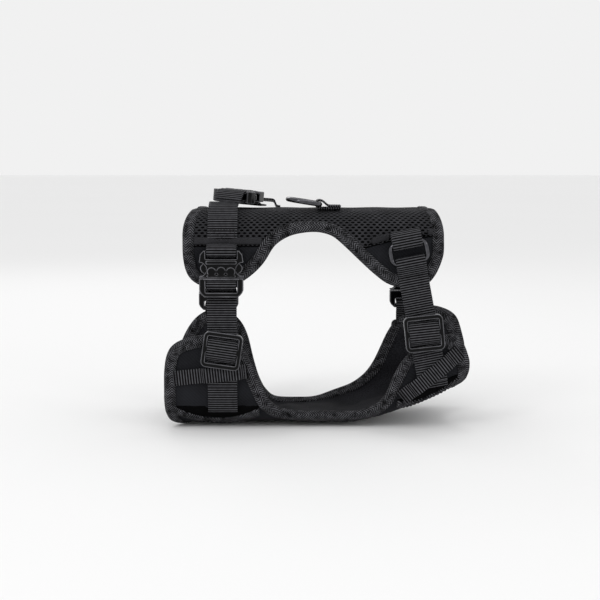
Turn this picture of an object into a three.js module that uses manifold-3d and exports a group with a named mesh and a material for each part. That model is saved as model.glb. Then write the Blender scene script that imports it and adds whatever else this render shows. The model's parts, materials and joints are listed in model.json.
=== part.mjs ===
// A small pet's vest harness, standing open: a back panel and a chest panel of soft laminate,
// joined by two neck straps at the front and two girth straps at the rear.
// Millimetres, +Z up, the neck opening faces -Y, and the origin is on the flat underside of the chest panel.

import * as THREE from 'three';
import { mergeVertices } from 'three/addons/utils/BufferGeometryUtils.js';
import Module from 'manifold-3d';

// Driving dimensions
const GAP = 0.3; // clearance kept between touching pieces
const FACE_Y = 44; // distance of the outer front and rear faces from the middle
const BACK_TOP_Z = 145.5;
const BACK_BASE_Z = 60; // where the back panel's profile starts, below its lowest edge
const BACK_BEND = { across: 22, height: 17 }; // bend between a wing and the flat top
const CHEST_TOP_Z = 80; // where the chest panel's profile starts, above its highest edge
const CHEST_BEND = { across: 22, height: 22 };
const BACK_X = [-88, 85];
const CHEST_X = [-101, 103];
const SHELL_T = 2.0;
const LINING_T = 1.2;
const LAYER_GAP = 0.4; // between the shell and the lining, which bend about different radii
const LAMINATE_T = SHELL_T + LAYER_GAP + LINING_T;
const BINDING_W = 7;
const CUTTER_REACH = 6; // how far the cutter for a binding passes both faces of a panel
const PANEL_ROWS = 12;
const WEB_W = 19.6; // webbing, nominal 20 mm
const WEB_T = 1.3;
const KEEPER_W = 10;
const BUCKLE = { width: 29, thick: 9, socket: 18, plug: 12.7, plate: 2, slotHalf: 10.4 };
const SLIDER = { width: 26, height: 24, bar: 3.1, thick: 3, slotHalf: 10.3 };
const RING = { width: 27, height: 16, wire: 3 };
const LEASH = { width: 27, length: 25, wire: 3.2, chamfer: 0.9 };

// Depth of each layer in front of a panel's outer face
const LAYER = { anchor: 0.95, strap: 2.5, keeper: 4.05, slider: 4.95 };

const COLOUR = {
  airMesh: 0x2b2b2d,
  binding: 0x38383a,
  softshell: 0x2a2c30,
  lining: 0x2c2c2e,
  webbing: 0x333335,
  plastic: 0x1b1b1c,
  metal: 0x151517,
};

const wasm = await Module();
wasm.setup();

const object = new THREE.Group();

function material(colour, roughness, metalness = 0) {
  return new THREE.MeshStandardMaterial({ color: colour, roughness, metalness });
}

function addMesh(parent, name, geometry, finish) {
  const mesh = new THREE.Mesh(geometry, finish);
  mesh.name = name;
  parent.add(mesh);
  return mesh;
}

const fabric = (colour) => material(colour, 0.95);
const webbingFinish = () => material(COLOUR.webbing, 0.85);
const plasticFinish = () => material(COLOUR.plastic, 0.35);
const metalFinish = () => material(COLOUR.metal, 0.2, 0.9);

// Joining and cutting

function toSolid(geometry) {
  const bare = geometry.clone();
  bare.deleteAttribute('normal');
  bare.deleteAttribute('uv');
  const merged = mergeVertices(bare, 1e-4);
  return new wasm.Manifold(new wasm.Mesh({
    numProp: 3,
    vertProperties: new Float32Array(merged.attributes.position.array),
    triVerts: new Uint32Array(merged.index.array),
  }));
}

function toGeometry(solid) {
  const mesh = solid.getMesh();
  const geometry = new THREE.BufferGeometry();
  geometry.setAttribute('position', new THREE.BufferAttribute(mesh.vertProperties, 3));
  geometry.setIndex(new THREE.BufferAttribute(mesh.triVerts, 1));
  return geometry;
}

function cut(geometry, ...tools) {
  let solid = toSolid(geometry);
  for (const tool of tools) solid = solid.subtract(toSolid(tool));
  return toGeometry(solid);
}

function common(geometry, other) {
  return toGeometry(toSolid(geometry).intersect(toSolid(other)));
}

function join(geometry, ...others) {
  let solid = toSolid(geometry);
  for (const other of others) solid = solid.add(toSolid(other));
  return toGeometry(solid);
}

// Plain shapes

function block(xLow, xHigh, yLow, yHigh, zLow, zHigh) {
  const geometry = new THREE.BoxGeometry(xHigh - xLow, yHigh - yLow, zHigh - zLow);
  return geometry.translate((xLow + xHigh) / 2, (yLow + yHigh) / 2, (zLow + zHigh) / 2);
}

// An X-Z outline pushed from y = -near out to y = -far, away from the panel
function frontPrism(shape, near, far) {
  const depth = far - near;
  const geometry = new THREE.ExtrudeGeometry(shape, { depth, bevelEnabled: false, curveSegments: 6 });
  return geometry.rotateX(Math.PI / 2).translate(0, -near, 0);
}

function roundedRectangle(width, height, radius) {
  const shape = new THREE.Shape();
  const x = width / 2 - radius;
  const y = height / 2 - radius;
  shape.absarc(x, y, radius, 0, Math.PI / 2);
  shape.absarc(-x, y, radius, Math.PI / 2, Math.PI);
  shape.absarc(-x, -y, radius, Math.PI, Math.PI * 1.5);
  shape.absarc(x, -y, radius, Math.PI * 1.5, Math.PI * 2);
  shape.closePath();
  return shape;
}

// The section of a flat strap that follows a bent line, with mitred corners
function ribbonSection(points, thickness = WEB_T) {
  const line = points.map(([a, b]) => new THREE.Vector2(a, b));
  const sides = [[], []];
  line.forEach((point, i) => {
    const before = i > 0 ? point.clone().sub(line[i - 1]).normalize() : null;
    const after = i < line.length - 1 ? line[i + 1].clone().sub(point).normalize() : null;
    const along = (before ?? after).clone().add(after ?? before).normalize();
    const stretch = before && after ? 1 / Math.max(along.dot(after), 0.4) : 1;
    const across = new THREE.Vector2(-along.y, along.x).multiplyScalar(stretch * thickness / 2);
    sides[0].push(point.clone().add(across));
    sides[1].unshift(point.clone().sub(across));
  });
  return new THREE.Shape([...sides[0], ...sides[1]]);
}

// A strap whose bends lie in the Y-Z plane: points are [depth in front of the face, height]
function strapAlong(points, width = WEB_W) {
  const section = ribbonSection(points.map(([depth, z]) => [-depth, z]));
  const geometry = new THREE.ExtrudeGeometry(section, { depth: width, bevelEnabled: false });
  const turn = new THREE.Matrix4().set(0, 0, 1, -width / 2, 1, 0, 0, 0, 0, 1, 0, 0, 0, 0, 0, 1);
  return geometry.applyMatrix4(turn);
}

// A band whose bends lie in the X-Y plane: points are [x, depth in front of the face]
function bandAcross(points, width) {
  const section = ribbonSection(points.map(([x, depth]) => [x, -depth]));
  const geometry = new THREE.ExtrudeGeometry(section, { depth: width, bevelEnabled: false });
  return geometry.translate(0, 0, -width / 2);
}

// Panels: flat sheets laid along a Y-Z profile

function measuredProfile(path) {
  const length = path.getLength();
  const at = (s) => path.getPoint(THREE.MathUtils.clamp(s / length, 0, 1));
  return {
    length,
    at,
    outward(s) {
      const step = at(s + 0.05).sub(at(s - 0.05)).normalize();
      return new THREE.Vector2(-step.y, step.x);
    },
    // Distance along the profile at which a height is reached, on its first or its second half
    reach(z, second) {
      let [low, high] = second ? [length, length / 2] : [0, length / 2];
      const rising = at(high).y > at(low).y;
      for (let i = 0; i < 30; i += 1) {
        const middle = (low + high) / 2;
        if ((at(middle).y < z) === rising) low = middle;
        else high = middle;
      }
      return (low + high) / 2;
    },
  };
}

function backProfile() {
  const bendZ = BACK_TOP_Z - BACK_BEND.height;
  const flatY = FACE_Y - BACK_BEND.across;
  const path = new THREE.Path();
  path.moveTo(-FACE_Y, BACK_BASE_Z);
  path.lineTo(-FACE_Y, bendZ);
  path.absellipse(-flatY, bendZ, BACK_BEND.across, BACK_BEND.height, Math.PI, Math.PI / 2, true);
  path.lineTo(flatY, BACK_TOP_Z);
  path.absellipse(flatY, bendZ, BACK_BEND.across, BACK_BEND.height, Math.PI / 2, 0, true);
  path.lineTo(FACE_Y, BACK_BASE_Z);
  return measuredProfile(path);
}

function chestProfile() {
  const flatY = FACE_Y - CHEST_BEND.across;
  const path = new THREE.Path();
  const { across, height } = CHEST_BEND;
  path.moveTo(FACE_Y, CHEST_TOP_Z);
  path.lineTo(FACE_Y, height);
  path.absellipse(flatY, height, across, height, 0, -Math.PI / 2, true);
  path.lineTo(-flatY, 0);
  path.absellipse(-flatY, height, across, height, -Math.PI / 2, -Math.PI, true);
  path.lineTo(-FACE_Y, CHEST_TOP_Z);
  return measuredProfile(path);
}

// The height at x on a line of straight runs through [x, z] points
function outline(points) {
  return (x) => {
    const last = points.length - 1;
    if (x <= points[0][0]) return points[0][1];
    if (x >= points[last][0]) return points[last][1];
    const i = points.findIndex(([px]) => px > x);
    const [x0, z0] = points[i - 1];
    const [x1, z1] = points[i];
    return z0 + (z1 - z0) * (x - x0) / (x1 - x0);
  };
}

// An edge moved into the panel by a width measured square to the edge
function inset(edge, width, inward) {
  return (x) => {
    const slope = (edge(x + 2) - edge(x - 2)) / 4;
    return edge(x) + inward * width * Math.min(Math.hypot(1, slope), 2);
  };
}

function columns([low, high], edges) {
  const marks = new Set([low, high]);
  for (const [x] of edges.flat()) if (x > low + 2 && x < high - 2) marks.add(x);
  const sorted = [...marks].sort((a, b) => a - b);
  return sorted.filter((x, i) => i === 0 || i === sorted.length - 1 || x - sorted[i - 1] > 3);
}

function sheet({ profile, stations, start, end, outer, inner, shapeX, lift, rows = PANEL_ROWS }) {
  const geometry = new THREE.BoxGeometry(1, 1, 1, stations.length - 1, rows, 1);
  const position = geometry.attributes.position;
  for (let i = 0; i < position.count; i += 1) {
    const column = Math.round((position.getX(i) + 0.5) * (stations.length - 1));
    const x = stations[column];
    const along = THREE.MathUtils.lerp(start(x), end(x), position.getY(i) + 0.5);
    const depth = position.getZ(i) > 0 ? outer : inner;
    const point = profile.at(along).addScaledVector(profile.outward(along), depth);
    position.setXYZ(i, shapeX(x, point.x), point.x, point.y + lift(x));
  }
  return geometry;
}

// A panel's edges, its full-size layers, and the cutter that leaves a margin for the edge binding
function panelLayers({ profile, range, frontPoints, rearPoints, frontIsFirst, shapeX, lift }) {
  const front = outline(frontPoints);
  const rear = outline(rearPoints);
  const start = (x) => profile.reach(frontIsFirst ? front(x) : rear(x), false);
  const end = (x) => profile.reach(frontIsFirst ? rear(x) : front(x), true);
  const stretch = (margin, outer, inner) => sheet({
    profile,
    stations: columns([range[0] + margin, range[1] - margin], [frontPoints, rearPoints]),
    start: margin ? inset(start, margin, 1) : start,
    end: margin ? inset(end, margin, -1) : end,
    outer,
    inner,
    shapeX,
    lift,
  });
  return {
    layer: (outer, inner) => stretch(0, outer, inner),
    cutter: (margin) => stretch(margin, CUTTER_REACH, -LAMINATE_T - CUTTER_REACH),
  };
}

function addPanelPieces(name, panel) {
  const binding = cut(panel.layer(0, -LAMINATE_T), panel.cutter(BINDING_W));
  const field = panel.cutter(BINDING_W + GAP);
  addMesh(object, `${name}_binding`, binding, fabric(COLOUR.binding));
  const shellSide = panel.layer(CUTTER_REACH, -SHELL_T - LAYER_GAP);
  const underShell = cut(panel.layer(-SHELL_T / 2, -LAMINATE_T), shellSide);
  const lining = common(underShell, field);
  addMesh(object, `${name}_lining`, lining, fabric(COLOUR.lining));
  return common(panel.layer(0, -SHELL_T), field);
}

const noLift = () => 0;

const BACK_FRONT = [
  [-88, 116], [-86, 105], [-81, 98], [-72, 95], [-55, 96], [-45, 101.5], [-35, 111], [-27, 123.5], [-12, 131],
  [0, 132.5], [10, 130], [20, 122], [30, 112.5], [40, 103.5], [50, 96.5], [62, 94.5], [73, 96], [80, 103.5],
  [85, 116],
];
const BACK_REAR = [
  [-88, 108], [-84, 95], [-76, 90], [-58, 90], [-48, 96], [-40, 104], [-30, 118], [-14, 127],
  [0, 128.5], [14, 126], [26, 116], [38, 104], [48, 95], [58, 90], [72, 90], [81, 96], [85, 108],
];
const CHEST_FRONT = [
  [-101, 38], [-99.5, 48], [-96, 55], [-86, 60], [-75, 62], [-62, 61.5], [-52, 56.5], [-44, 45], [-37, 30],
  [-30, 16], [-20, 9], [0, 7], [25, 7], [40, 9], [47, 17], [53, 30], [60, 39], [72, 44], [84, 44],
  [93, 39.5], [99, 30], [103, 16],
];
const CHEST_REAR = [
  [-101, 34], [-97, 46], [-91, 58], [-84, 66], [-75, 70], [-62, 68], [-54, 61.5], [-49, 51], [-45.5, 36],
  [-41.5, 22], [-36.5, 11], [-29, 4.5], [-5, 4], [13, 9.5], [25, 14.5], [35, 21.5], [41, 29], [45.5, 38], [51.5, 50],
  [59, 57], [70, 58.5], [80, 56.5], [88, 51], [97, 40.5], [101, 26], [103, 16],
];
const SEAMS = [
  { name: 'left_wing_panel', x: [-95, -30], heights: [[-88, 121], [-30, 121]] },
  { name: 'right_wing_panel', x: [33, 92], heights: [[34, 120], [52, 124.7], [78, 127.5]] },
];

function buildBackPanel() {
  const profile = backProfile();
  const shapeX = (x, y) => x * (1 - 0.08 * (1 - (y / FACE_Y) ** 2));
  const panel = panelLayers({
    profile,
    range: BACK_X,
    frontPoints: BACK_FRONT,
    rearPoints: BACK_REAR,
    frontIsFirst: true,
    shapeX,
    lift: noLift,
  });
  let airMesh = addPanelPieces('back_panel', panel);
  for (const { name, x, heights } of SEAMS) {
    const seam = outline(heights);
    const below = (clearance) => sheet({
      profile,
      stations: [x[0], ...heights.map(([mark]) => mark).filter((mark) => mark > x[0] && mark < x[1]), x[1]],
      start: () => 1,
      end: (at) => profile.reach(seam(at), false) + clearance,
      outer: CUTTER_REACH,
      inner: -LAMINATE_T,
      shapeX,
      lift: noLift,
      rows: 1,
    });
    addMesh(object, name, common(airMesh, below(-GAP / 2)), fabric(COLOUR.softshell));
    airMesh = cut(airMesh, below(GAP / 2));
  }
  addMesh(object, 'back_panel_air_mesh', airMesh, fabric(COLOUR.airMesh));
}

// The right side of the chest panel curls up from the resting face
function chestLift(x) {
  return 26 * (Math.max(x - 25, 0) / 75) ** 1.5;
}

// It narrows under the chest, and its right side spreads towards the rear
function chestX(x, y) {
  const spread = x > 0 ? 0.035 * (1 + y / FACE_Y) : 0;
  return x * (1 - 0.16 * (1 - (y / FACE_Y) ** 2) ** 2 + spread);
}

function buildChestPanel() {
  const panel = panelLayers({
    profile: chestProfile(),
    range: CHEST_X,
    frontPoints: CHEST_FRONT,
    rearPoints: CHEST_REAR,
    frontIsFirst: false,
    shapeX: chestX,
    lift: chestLift,
  });
  addMesh(object, 'chest_panel_shell', addPanelPieces('chest_panel', panel), fabric(COLOUR.softshell));
}

// Side-release buckle. Local frame: mouth at z = 0, socket above, plug below, faces at y = 0 and y = -thick

const BAR_NEAR = 2; // the webbing bars are thinner than the buckle: these are their two faces
const BAR_FAR = 7;
const CAVITY_TOP = 10.8;
const NOTCH = { radius: 4.6, z: 5.4, inset: 0.6 }; // where the arms' shoulders show at the socket's sides
const ARM_NEAR = 2.6; // the arms and the tongue between them lie between these two depths
const ARM_FAR = 6.4;
const TONGUE = { half: 2.4, top: 9 };
const SOCKET_SLOT = [12.6, 15.6];
const PLUG_SLOT = [-9.8, -6.1];

function socketGeometry() {
  const { width, thick, socket, plate, slotHalf } = BUCKLE;
  const half = width / 2;
  const shape = new THREE.Shape();
  shape.moveTo(-half, 0.1);
  shape.lineTo(half, 0.1);
  shape.lineTo(half, 11);
  shape.quadraticCurveTo(half, socket, half - 3, socket);
  shape.lineTo(-half + 3, socket);
  shape.quadraticCurveTo(-half, socket, -half, 11);
  const cavity = block(-half - 1, half + 1, -thick + plate, -plate, -1, CAVITY_TOP);
  const slot = block(-slotHalf, slotHalf, -thick - 1, 1, ...SOCKET_SLOT);
  const barFront = block(-slotHalf, slotHalf, -thick - 1, -BAR_FAR, SOCKET_SLOT[0], socket + 1);
  const barRear = block(-slotHalf, slotHalf, -BAR_NEAR, 1, SOCKET_SLOT[0], socket + 1);
  const notches = [-1, 1].map((side) => {
    const round = new THREE.CylinderGeometry(NOTCH.radius, NOTCH.radius, thick + 2, 12);
    return round.translate(side * (half - NOTCH.inset), -thick / 2, NOTCH.z);
  });
  return cut(frontPrism(shape, 0, thick), cavity, slot, barFront, barRear, ...notches);
}

function plugGeometry() {
  const { width, thick, plug, slotHalf } = BUCKLE;
  const half = width / 2;
  const shape = new THREE.Shape();
  shape.moveTo(-half, -0.2);
  shape.lineTo(-half, -9);
  shape.lineTo(-half + 3.2, -plug);
  shape.lineTo(half - 3.2, -plug);
  shape.lineTo(half, -9);
  shape.lineTo(half, -0.2);
  const slot = block(-slotHalf, slotHalf, -thick - 1, 1, ...PLUG_SLOT);
  const barFront = block(-slotHalf, slotHalf, -thick - 1, -BAR_FAR, PLUG_SLOT[0], -1.2);
  const barRear = block(-slotHalf, slotHalf, -BAR_NEAR, 1, -plug - 1, PLUG_SLOT[1]);
  const body = cut(frontPrism(shape, 0, thick), slot, barFront, barRear);
  const tongue = block(-TONGUE.half, TONGUE.half, -ARM_FAR, -ARM_NEAR, -1.5, TONGUE.top);
  return join(body, tongue);
}

// One latch arm, a spring finger with a rounded shoulder for the thumb
function armGeometry(side) {
  const shape = new THREE.Shape();
  shape.moveTo(side * 7.2, 0.3);
  shape.lineTo(side * 9.8, 0.3);
  shape.lineTo(side * 10.6, 2.4);
  shape.quadraticCurveTo(side * 14.6, 4, side * 13.6, 8.2);
  shape.lineTo(side * 11.4, 10.2);
  shape.lineTo(side * 9.6, 8.4);
  shape.lineTo(side * 8.6, 3);
  return frontPrism(shape, ARM_NEAR, ARM_FAR);
}

function addBuckle(parent, name) {
  addMesh(parent, `${name}_socket`, socketGeometry(), plasticFinish());
  addMesh(parent, `${name}_plug`, plugGeometry(), plasticFinish());
  addMesh(parent, `${name}_left_arm`, armGeometry(-1), plasticFinish());
  addMesh(parent, `${name}_right_arm`, armGeometry(1), plasticFinish());
}

const LOOP_FAR = 8.1; // webbing in front of a bar: its middle lies at this depth

// The webbing loop that holds a socket by its bar: down in front, round the bar, up behind
function socketLoop(frontTop, rearTop) {
  return strapAlong([frontTop, [LOOP_FAR, 20], [LOOP_FAR, 14.1], [LAYER.anchor, 14.1], rearTop]);
}

// The strap's end on a plug: tucked in front of the upper bar, through the slot and behind the lower bar
const PLUG_TUCK = [[LOOP_FAR, -1.9], [LOOP_FAR, -7.6], [LAYER.anchor, -8.6], [LAYER.anchor, -14]];

// Slider, with the strap's hump over its middle bar. Local frame: centre of the slider, behind it y = 0

function addSlider(parent, name, tilt, height) {
  const group = new THREE.Group();
  group.position.z = height;
  group.rotation.y = tilt;
  parent.add(group);
  const { width, height: tall, bar, thick, slotHalf } = SLIDER;
  const near = LAYER.slider;
  const frame = frontPrism(roundedRectangle(width, tall, 3.5), near, near + thick);
  const slotLow = 1.6;
  const slotHigh = tall / 2 - bar;
  const upper = block(-slotHalf, slotHalf, -near - thick - 1, -near + 1, slotLow, slotHigh);
  const lower = block(-slotHalf, slotHalf, -near - thick - 1, -near + 1, -slotHigh, -slotLow);
  addMesh(group, `${name}_slider`, cut(frame, upper, lower), plasticFinish());
  const crown = near + thick + GAP + WEB_T / 2;
  const hump = strapAlong([[near + 0.7, 6.2], [crown, 3.4], [crown, -3.4], [near + 0.7, -6.2]], WEB_W);
  addMesh(group, `${name}_slider_loop`, hump, webbingFinish());
}

function addKeeper(parent, name, { x = 0, z, tilt, ends, raised }) {
  const group = new THREE.Group();
  group.position.set(x, 0, z);
  group.rotation.y = tilt;
  parent.add(group);
  const low = LAYER.anchor;
  const high = LAYER.keeper;
  const [from, to] = raised;
  const band = bandAcross([[ends[0], low], [from - 1.5, low], [from, high], [to, high],
    [to + 1.5, low], [ends[1], low]], KEEPER_W);
  addMesh(group, `${name}_keeper_band`, band, webbingFinish());
}

function addAnchor(parent, name, top, bend, bottom, dip = 2) {
  const low = LAYER.anchor;
  const geometry = strapAlong([[low, top], [low, bend], [low - dip, bottom]]);
  addMesh(parent, `${name}_anchor_webbing`, geometry, webbingFinish());
}

const DEGREE = Math.PI / 180;

// A strap with a buckle at the back panel and a slider near the chest panel.
// Heights are in the object's frame; a rear strap is turned to face the other way
function addBuckledStrap({
  name, x, mouth, slider, sliderTilt, keeper, keeperTilt, keeperEnds, strapEnd, tabTop, rear,
}) {
  const group = new THREE.Group();
  group.position.set(x, rear ? FACE_Y : -FACE_Y, mouth);
  group.rotation.z = rear ? Math.PI : 0;
  object.add(group);
  const tab = socketLoop([1.7 + WEB_T, tabTop - mouth], [0.95, tabTop - mouth]);
  addMesh(group, `${name}_buckle_tab`, tab, webbingFinish());
  addBuckle(group, `${name}_buckle`);
  const strap = strapAlong([...PLUG_TUCK, [LAYER.strap, -19], [LAYER.strap, strapEnd - mouth]]);
  addMesh(group, `${name}_strap`, strap, webbingFinish());
  addSlider(group, name, sliderTilt, slider - mouth);
  addKeeper(group, name, { z: keeper - mouth, tilt: keeperTilt, ends: keeperEnds, raised: [-12.5, 12.5] });
  addAnchor(group, name, strapEnd - mouth + 4, 20 - mouth, 11 - mouth);
}

function buildStraps() {
  addBuckledStrap({
    name: 'left_neck', x: -62, mouth: 101.5, slider: 53, sliderTilt: 8 * DEGREE, keeper: 37,
    keeperTilt: -6 * DEGREE, keeperEnds: [-33, 15.5], strapEnd: 29, tabTop: 122.5, rear: false,
  });
  addBuckledStrap({
    name: 'left_girth', x: -70, mouth: 82, slider: 48, sliderTilt: 0, keeper: 30, keeperTilt: 0,
    keeperEnds: [-22, 22], strapEnd: 24, tabTop: 108, rear: true,
  });
  addBuckledStrap({
    name: 'right_girth', x: 70, mouth: 84, slider: 50, sliderTilt: 0, keeper: 34, keeperTilt: 0,
    keeperEnds: [-22, 22], strapEnd: 28, tabTop: 110, rear: true,
  });
}

// Right neck strap: hangs from a metal ring in a tab, with no buckle. Local origin: middle of the ring
const RIGHT_NECK = { x: 61.4, z: 118, lean: -11 * DEGREE, ringDepth: 4, slider: -54.3, end: -88 };

function buildRightNeck() {
  const group = new THREE.Group();
  group.position.set(RIGHT_NECK.x, -FACE_Y, RIGHT_NECK.z);
  group.rotation.y = RIGHT_NECK.lean;
  object.add(group);
  const tab = strapAlong([[2.9, 13], [7.05, 8.5], [7.05, 3.2], [0.95, 3.2], [0.95, 14]]);
  addMesh(group, 'right_neck_ring_tab', tab, webbingFinish());
  const outer = roundedRectangle(RING.width, RING.height, 4);
  outer.holes.push(roundedRectangle(RING.width - 2 * RING.wire, RING.height - 2 * RING.wire, 1.5));
  const near = RIGHT_NECK.ringDepth - RING.wire / 2;
  addMesh(group, 'right_neck_ring', frontPrism(outer, near, near + RING.wire), metalFinish());
  const strap = strapAlong([[2.95, -14], [7.05, -8.5], [7.05, -3.2], [0.95, -3.2], [0.95, -15],
    [LAYER.strap, -20], [LAYER.strap, RIGHT_NECK.end]]);
  addMesh(group, 'right_neck_strap', strap, webbingFinish());
  addSlider(group, 'right_neck', 5 * DEGREE, RIGHT_NECK.slider);
  addKeeper(group, 'right_neck', { z: -83.5, tilt: -28 * DEGREE, ends: [-25, 25], raised: [-15.5, 15.5] });
  addAnchor(group, 'right_neck', -76, -85, -92, 1);
}

// Quick-release strap over the left of the back: sewn to the left wing, over the front bend, to a buckle
const TOP_BUCKLE = { x: -52, y: -2, z: 149.6, yaw: 17 * DEGREE, roll: 5 * DEGREE };
const TOP_KEEPER = { x: -41.4, y: 32.5, z: 143.44, slope: 14 * DEGREE, width: 8 };

function buildTopStrap() {
  const roll = new THREE.Group();
  roll.position.set(TOP_BUCKLE.x, TOP_BUCKLE.y, TOP_BUCKLE.z);
  roll.rotation.y = TOP_BUCKLE.roll;
  object.add(roll);
  const yaw = new THREE.Group();
  yaw.rotation.z = Math.PI - TOP_BUCKLE.yaw;
  roll.add(yaw);
  const lie = new THREE.Group();
  lie.rotation.x = -Math.PI / 2;
  yaw.add(lie);
  addBuckle(lie, 'top_buckle');
  const rearStrap = strapAlong([...PLUG_TUCK, [-1.2, -20], [-1.2, -41]]);
  addMesh(lie, 'top_strap_rear', rearStrap, webbingFinish());
  object.updateMatrixWorld(true);
  const loop = socketLoop([3.2, 24], [0.95, 24]).applyMatrix4(lie.matrixWorld);
  // The strap rises in front of the wing, follows the bend and ends inside the loop's two legs
  const x = -61.5;
  const rise = strapAlong([[0.95, 123.5], [0.95, 131], [-2, 139.5], [-10, 147], [-17, 150]]);
  rise.translate(x, -FACE_Y, 0);
  addMesh(object, 'top_strap_front', join(rise, loop), webbingFinish());
  // Its keeper stands on the rear bend, clear of the buckle's plug when the plug is drawn out
  const { x: keeperX, y: keeperY, z: keeperZ, slope, width } = TOP_KEEPER;
  const arch = [[-17, 1.5], [-13.8, 1.5], [-13, 8.1], [13, 6.1], [13.8, 1.5], [17, 1.5]];
  const patch = bandAcross(arch, width);
  patch.rotateX(-Math.PI / 2 - slope).translate(keeperX, keeperY, keeperZ);
  addMesh(object, 'top_strap_keeper', patch, webbingFinish());
}

// Leash ring: a D of round wire lying on the back, hinged on its straight side in a tab of webbing
const LEASH_HINGE = { x: 3, y: -22, z: 149.1, tilt: 9 * DEGREE };

function buildLeashRing() {
  const { width, length, wire, chamfer } = LEASH;
  const dShape = (inward) => {
    const half = width / 2 - inward;
    const bow = half;
    const left = wire / 2 - length + inward + bow;
    const shape = new THREE.Shape();
    shape.moveTo(wire / 2 - inward, half);
    shape.lineTo(left, half);
    shape.absarc(left, 0, bow, Math.PI / 2, Math.PI * 1.5, false);
    shape.lineTo(wire / 2 - inward, -half);
    shape.closePath();
    return shape;
  };
  const shape = dShape(0);
  shape.holes.push(dShape(wire));
  const ring = new THREE.ExtrudeGeometry(shape, {
    depth: wire - 2 * chamfer, bevelEnabled: true, bevelThickness: chamfer, bevelSize: chamfer,
    bevelOffset: -chamfer, bevelSegments: 1, curveSegments: 10,
  });
  ring.translate(0, 0, chamfer - wire / 2);
  const group = new THREE.Group();
  group.position.set(LEASH_HINGE.x, LEASH_HINGE.y, LEASH_HINGE.z);
  object.add(group);
  const ringMesh = addMesh(group, 'leash_ring', ring, metalFinish());
  ringMesh.rotation.y = LEASH_HINGE.tilt;
  const tabSection = ribbonSection([[14, -2.65], [-2.6, -2.65], [-2.6, 2.75], [3, 2.75], [14, -0.9]]);
  const tab = new THREE.ExtrudeGeometry(tabSection, { depth: WEB_W, bevelEnabled: false });
  tab.rotateX(Math.PI / 2).translate(0, WEB_W / 2, 0);
  addMesh(group, 'leash_ring_tab', tab, webbingFinish());
}

buildBackPanel();
buildChestPanel();
buildStraps();
buildRightNeck();
buildTopStrap();
buildLeashRing();

export default object;
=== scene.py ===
"""A small pet's vest harness: padded panels, bound edges, ribbed webbing, moulded buckles and metal rings."""

import json
import math

import bmesh
import bpy
import numpy as np
from mathutils import Matrix, Vector


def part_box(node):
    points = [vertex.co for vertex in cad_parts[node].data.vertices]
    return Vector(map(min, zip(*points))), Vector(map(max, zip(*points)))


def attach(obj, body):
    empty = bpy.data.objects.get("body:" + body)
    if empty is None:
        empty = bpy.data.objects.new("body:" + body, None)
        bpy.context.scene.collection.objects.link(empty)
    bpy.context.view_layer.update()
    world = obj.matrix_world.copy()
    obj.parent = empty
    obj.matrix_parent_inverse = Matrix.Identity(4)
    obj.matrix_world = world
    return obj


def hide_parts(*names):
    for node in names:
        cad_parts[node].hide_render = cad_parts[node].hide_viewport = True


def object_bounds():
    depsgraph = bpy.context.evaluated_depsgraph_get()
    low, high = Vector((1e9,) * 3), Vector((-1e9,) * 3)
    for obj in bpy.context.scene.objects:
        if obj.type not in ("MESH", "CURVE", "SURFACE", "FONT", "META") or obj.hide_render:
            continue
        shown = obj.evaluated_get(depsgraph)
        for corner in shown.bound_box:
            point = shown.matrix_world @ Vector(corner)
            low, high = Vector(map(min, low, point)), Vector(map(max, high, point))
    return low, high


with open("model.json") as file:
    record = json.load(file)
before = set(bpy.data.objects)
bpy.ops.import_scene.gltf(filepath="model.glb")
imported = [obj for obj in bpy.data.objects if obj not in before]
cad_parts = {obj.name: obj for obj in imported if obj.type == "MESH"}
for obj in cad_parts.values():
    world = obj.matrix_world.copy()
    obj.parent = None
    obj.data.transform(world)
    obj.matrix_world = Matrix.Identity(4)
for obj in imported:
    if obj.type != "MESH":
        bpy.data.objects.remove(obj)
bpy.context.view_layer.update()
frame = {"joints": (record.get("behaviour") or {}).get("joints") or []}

# Lengths below are in millimetres, as on a pattern maker's table; every mesh is made in metres
MM = 0.001
FACE_Y = 44.0
BACK_TOP_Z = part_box("back_panel_air_mesh")[1].z / MM
BACK_BASE_Z = 60.0
CHEST_TOP_Z = 80.0
BACK_SPAN = (-88.0, 85.0)
CHEST_SPAN = (-101.0, 103.0)
LAMINATE = 3.6  # the whole padded cloth
SHELL = 2.0  # its outer layer
SAG_DEPTH = 0.45
BINDING_WIDTH = 7.5
WEB_WIDTH = 19.6
WEB_THICK = 1.3
RIB_PITCH = 1.6
RIB_RISE = 0.22

# ---------------------------------------------------------------- colours and nodes


def srgb(code):
    """An sRGB hex colour as linear RGBA."""
    channels = [int(code[i : i + 2], 16) / 255 for i in (1, 3, 5)]
    linear = [c / 12.92 if c <= 0.04045 else ((c + 0.055) / 1.055) ** 2.4 for c in channels]
    return (*linear, 1.0)


def add(tree, kind, inputs=None, **settings):
    """A new node with its settings. Inputs go by name, identifier or number; a node or socket is linked."""
    node = tree.nodes.new(kind)
    for key, value in settings.items():
        setattr(node, key, value)
    for key, value in (inputs or {}).items():
        if isinstance(key, int):
            socket = node.inputs[key]
        else:
            enabled = [each for each in node.inputs if each.enabled]
            socket = next(each for each in enabled if key in (each.identifier, each.name))
        if isinstance(value, bpy.types.Node):
            value = next(output for output in value.outputs if output.enabled)
        if isinstance(value, bpy.types.NodeSocket):
            tree.links.new(value, socket)
        else:
            socket.default_value = value
    return node


def new_material(name, **shader):
    """A material whose shader holds the given constants; returns it with its tree and its shader."""
    material = bpy.data.materials.new(name)
    material.use_nodes = True
    tree = material.node_tree
    tree.nodes.clear()
    constants = {key.replace("_", " "): value for key, value in shader.items()}
    surface = add(tree, "ShaderNodeBsdfPrincipled", constants)
    add(tree, "ShaderNodeOutputMaterial", {"Surface": surface})
    return material, tree, surface


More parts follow.
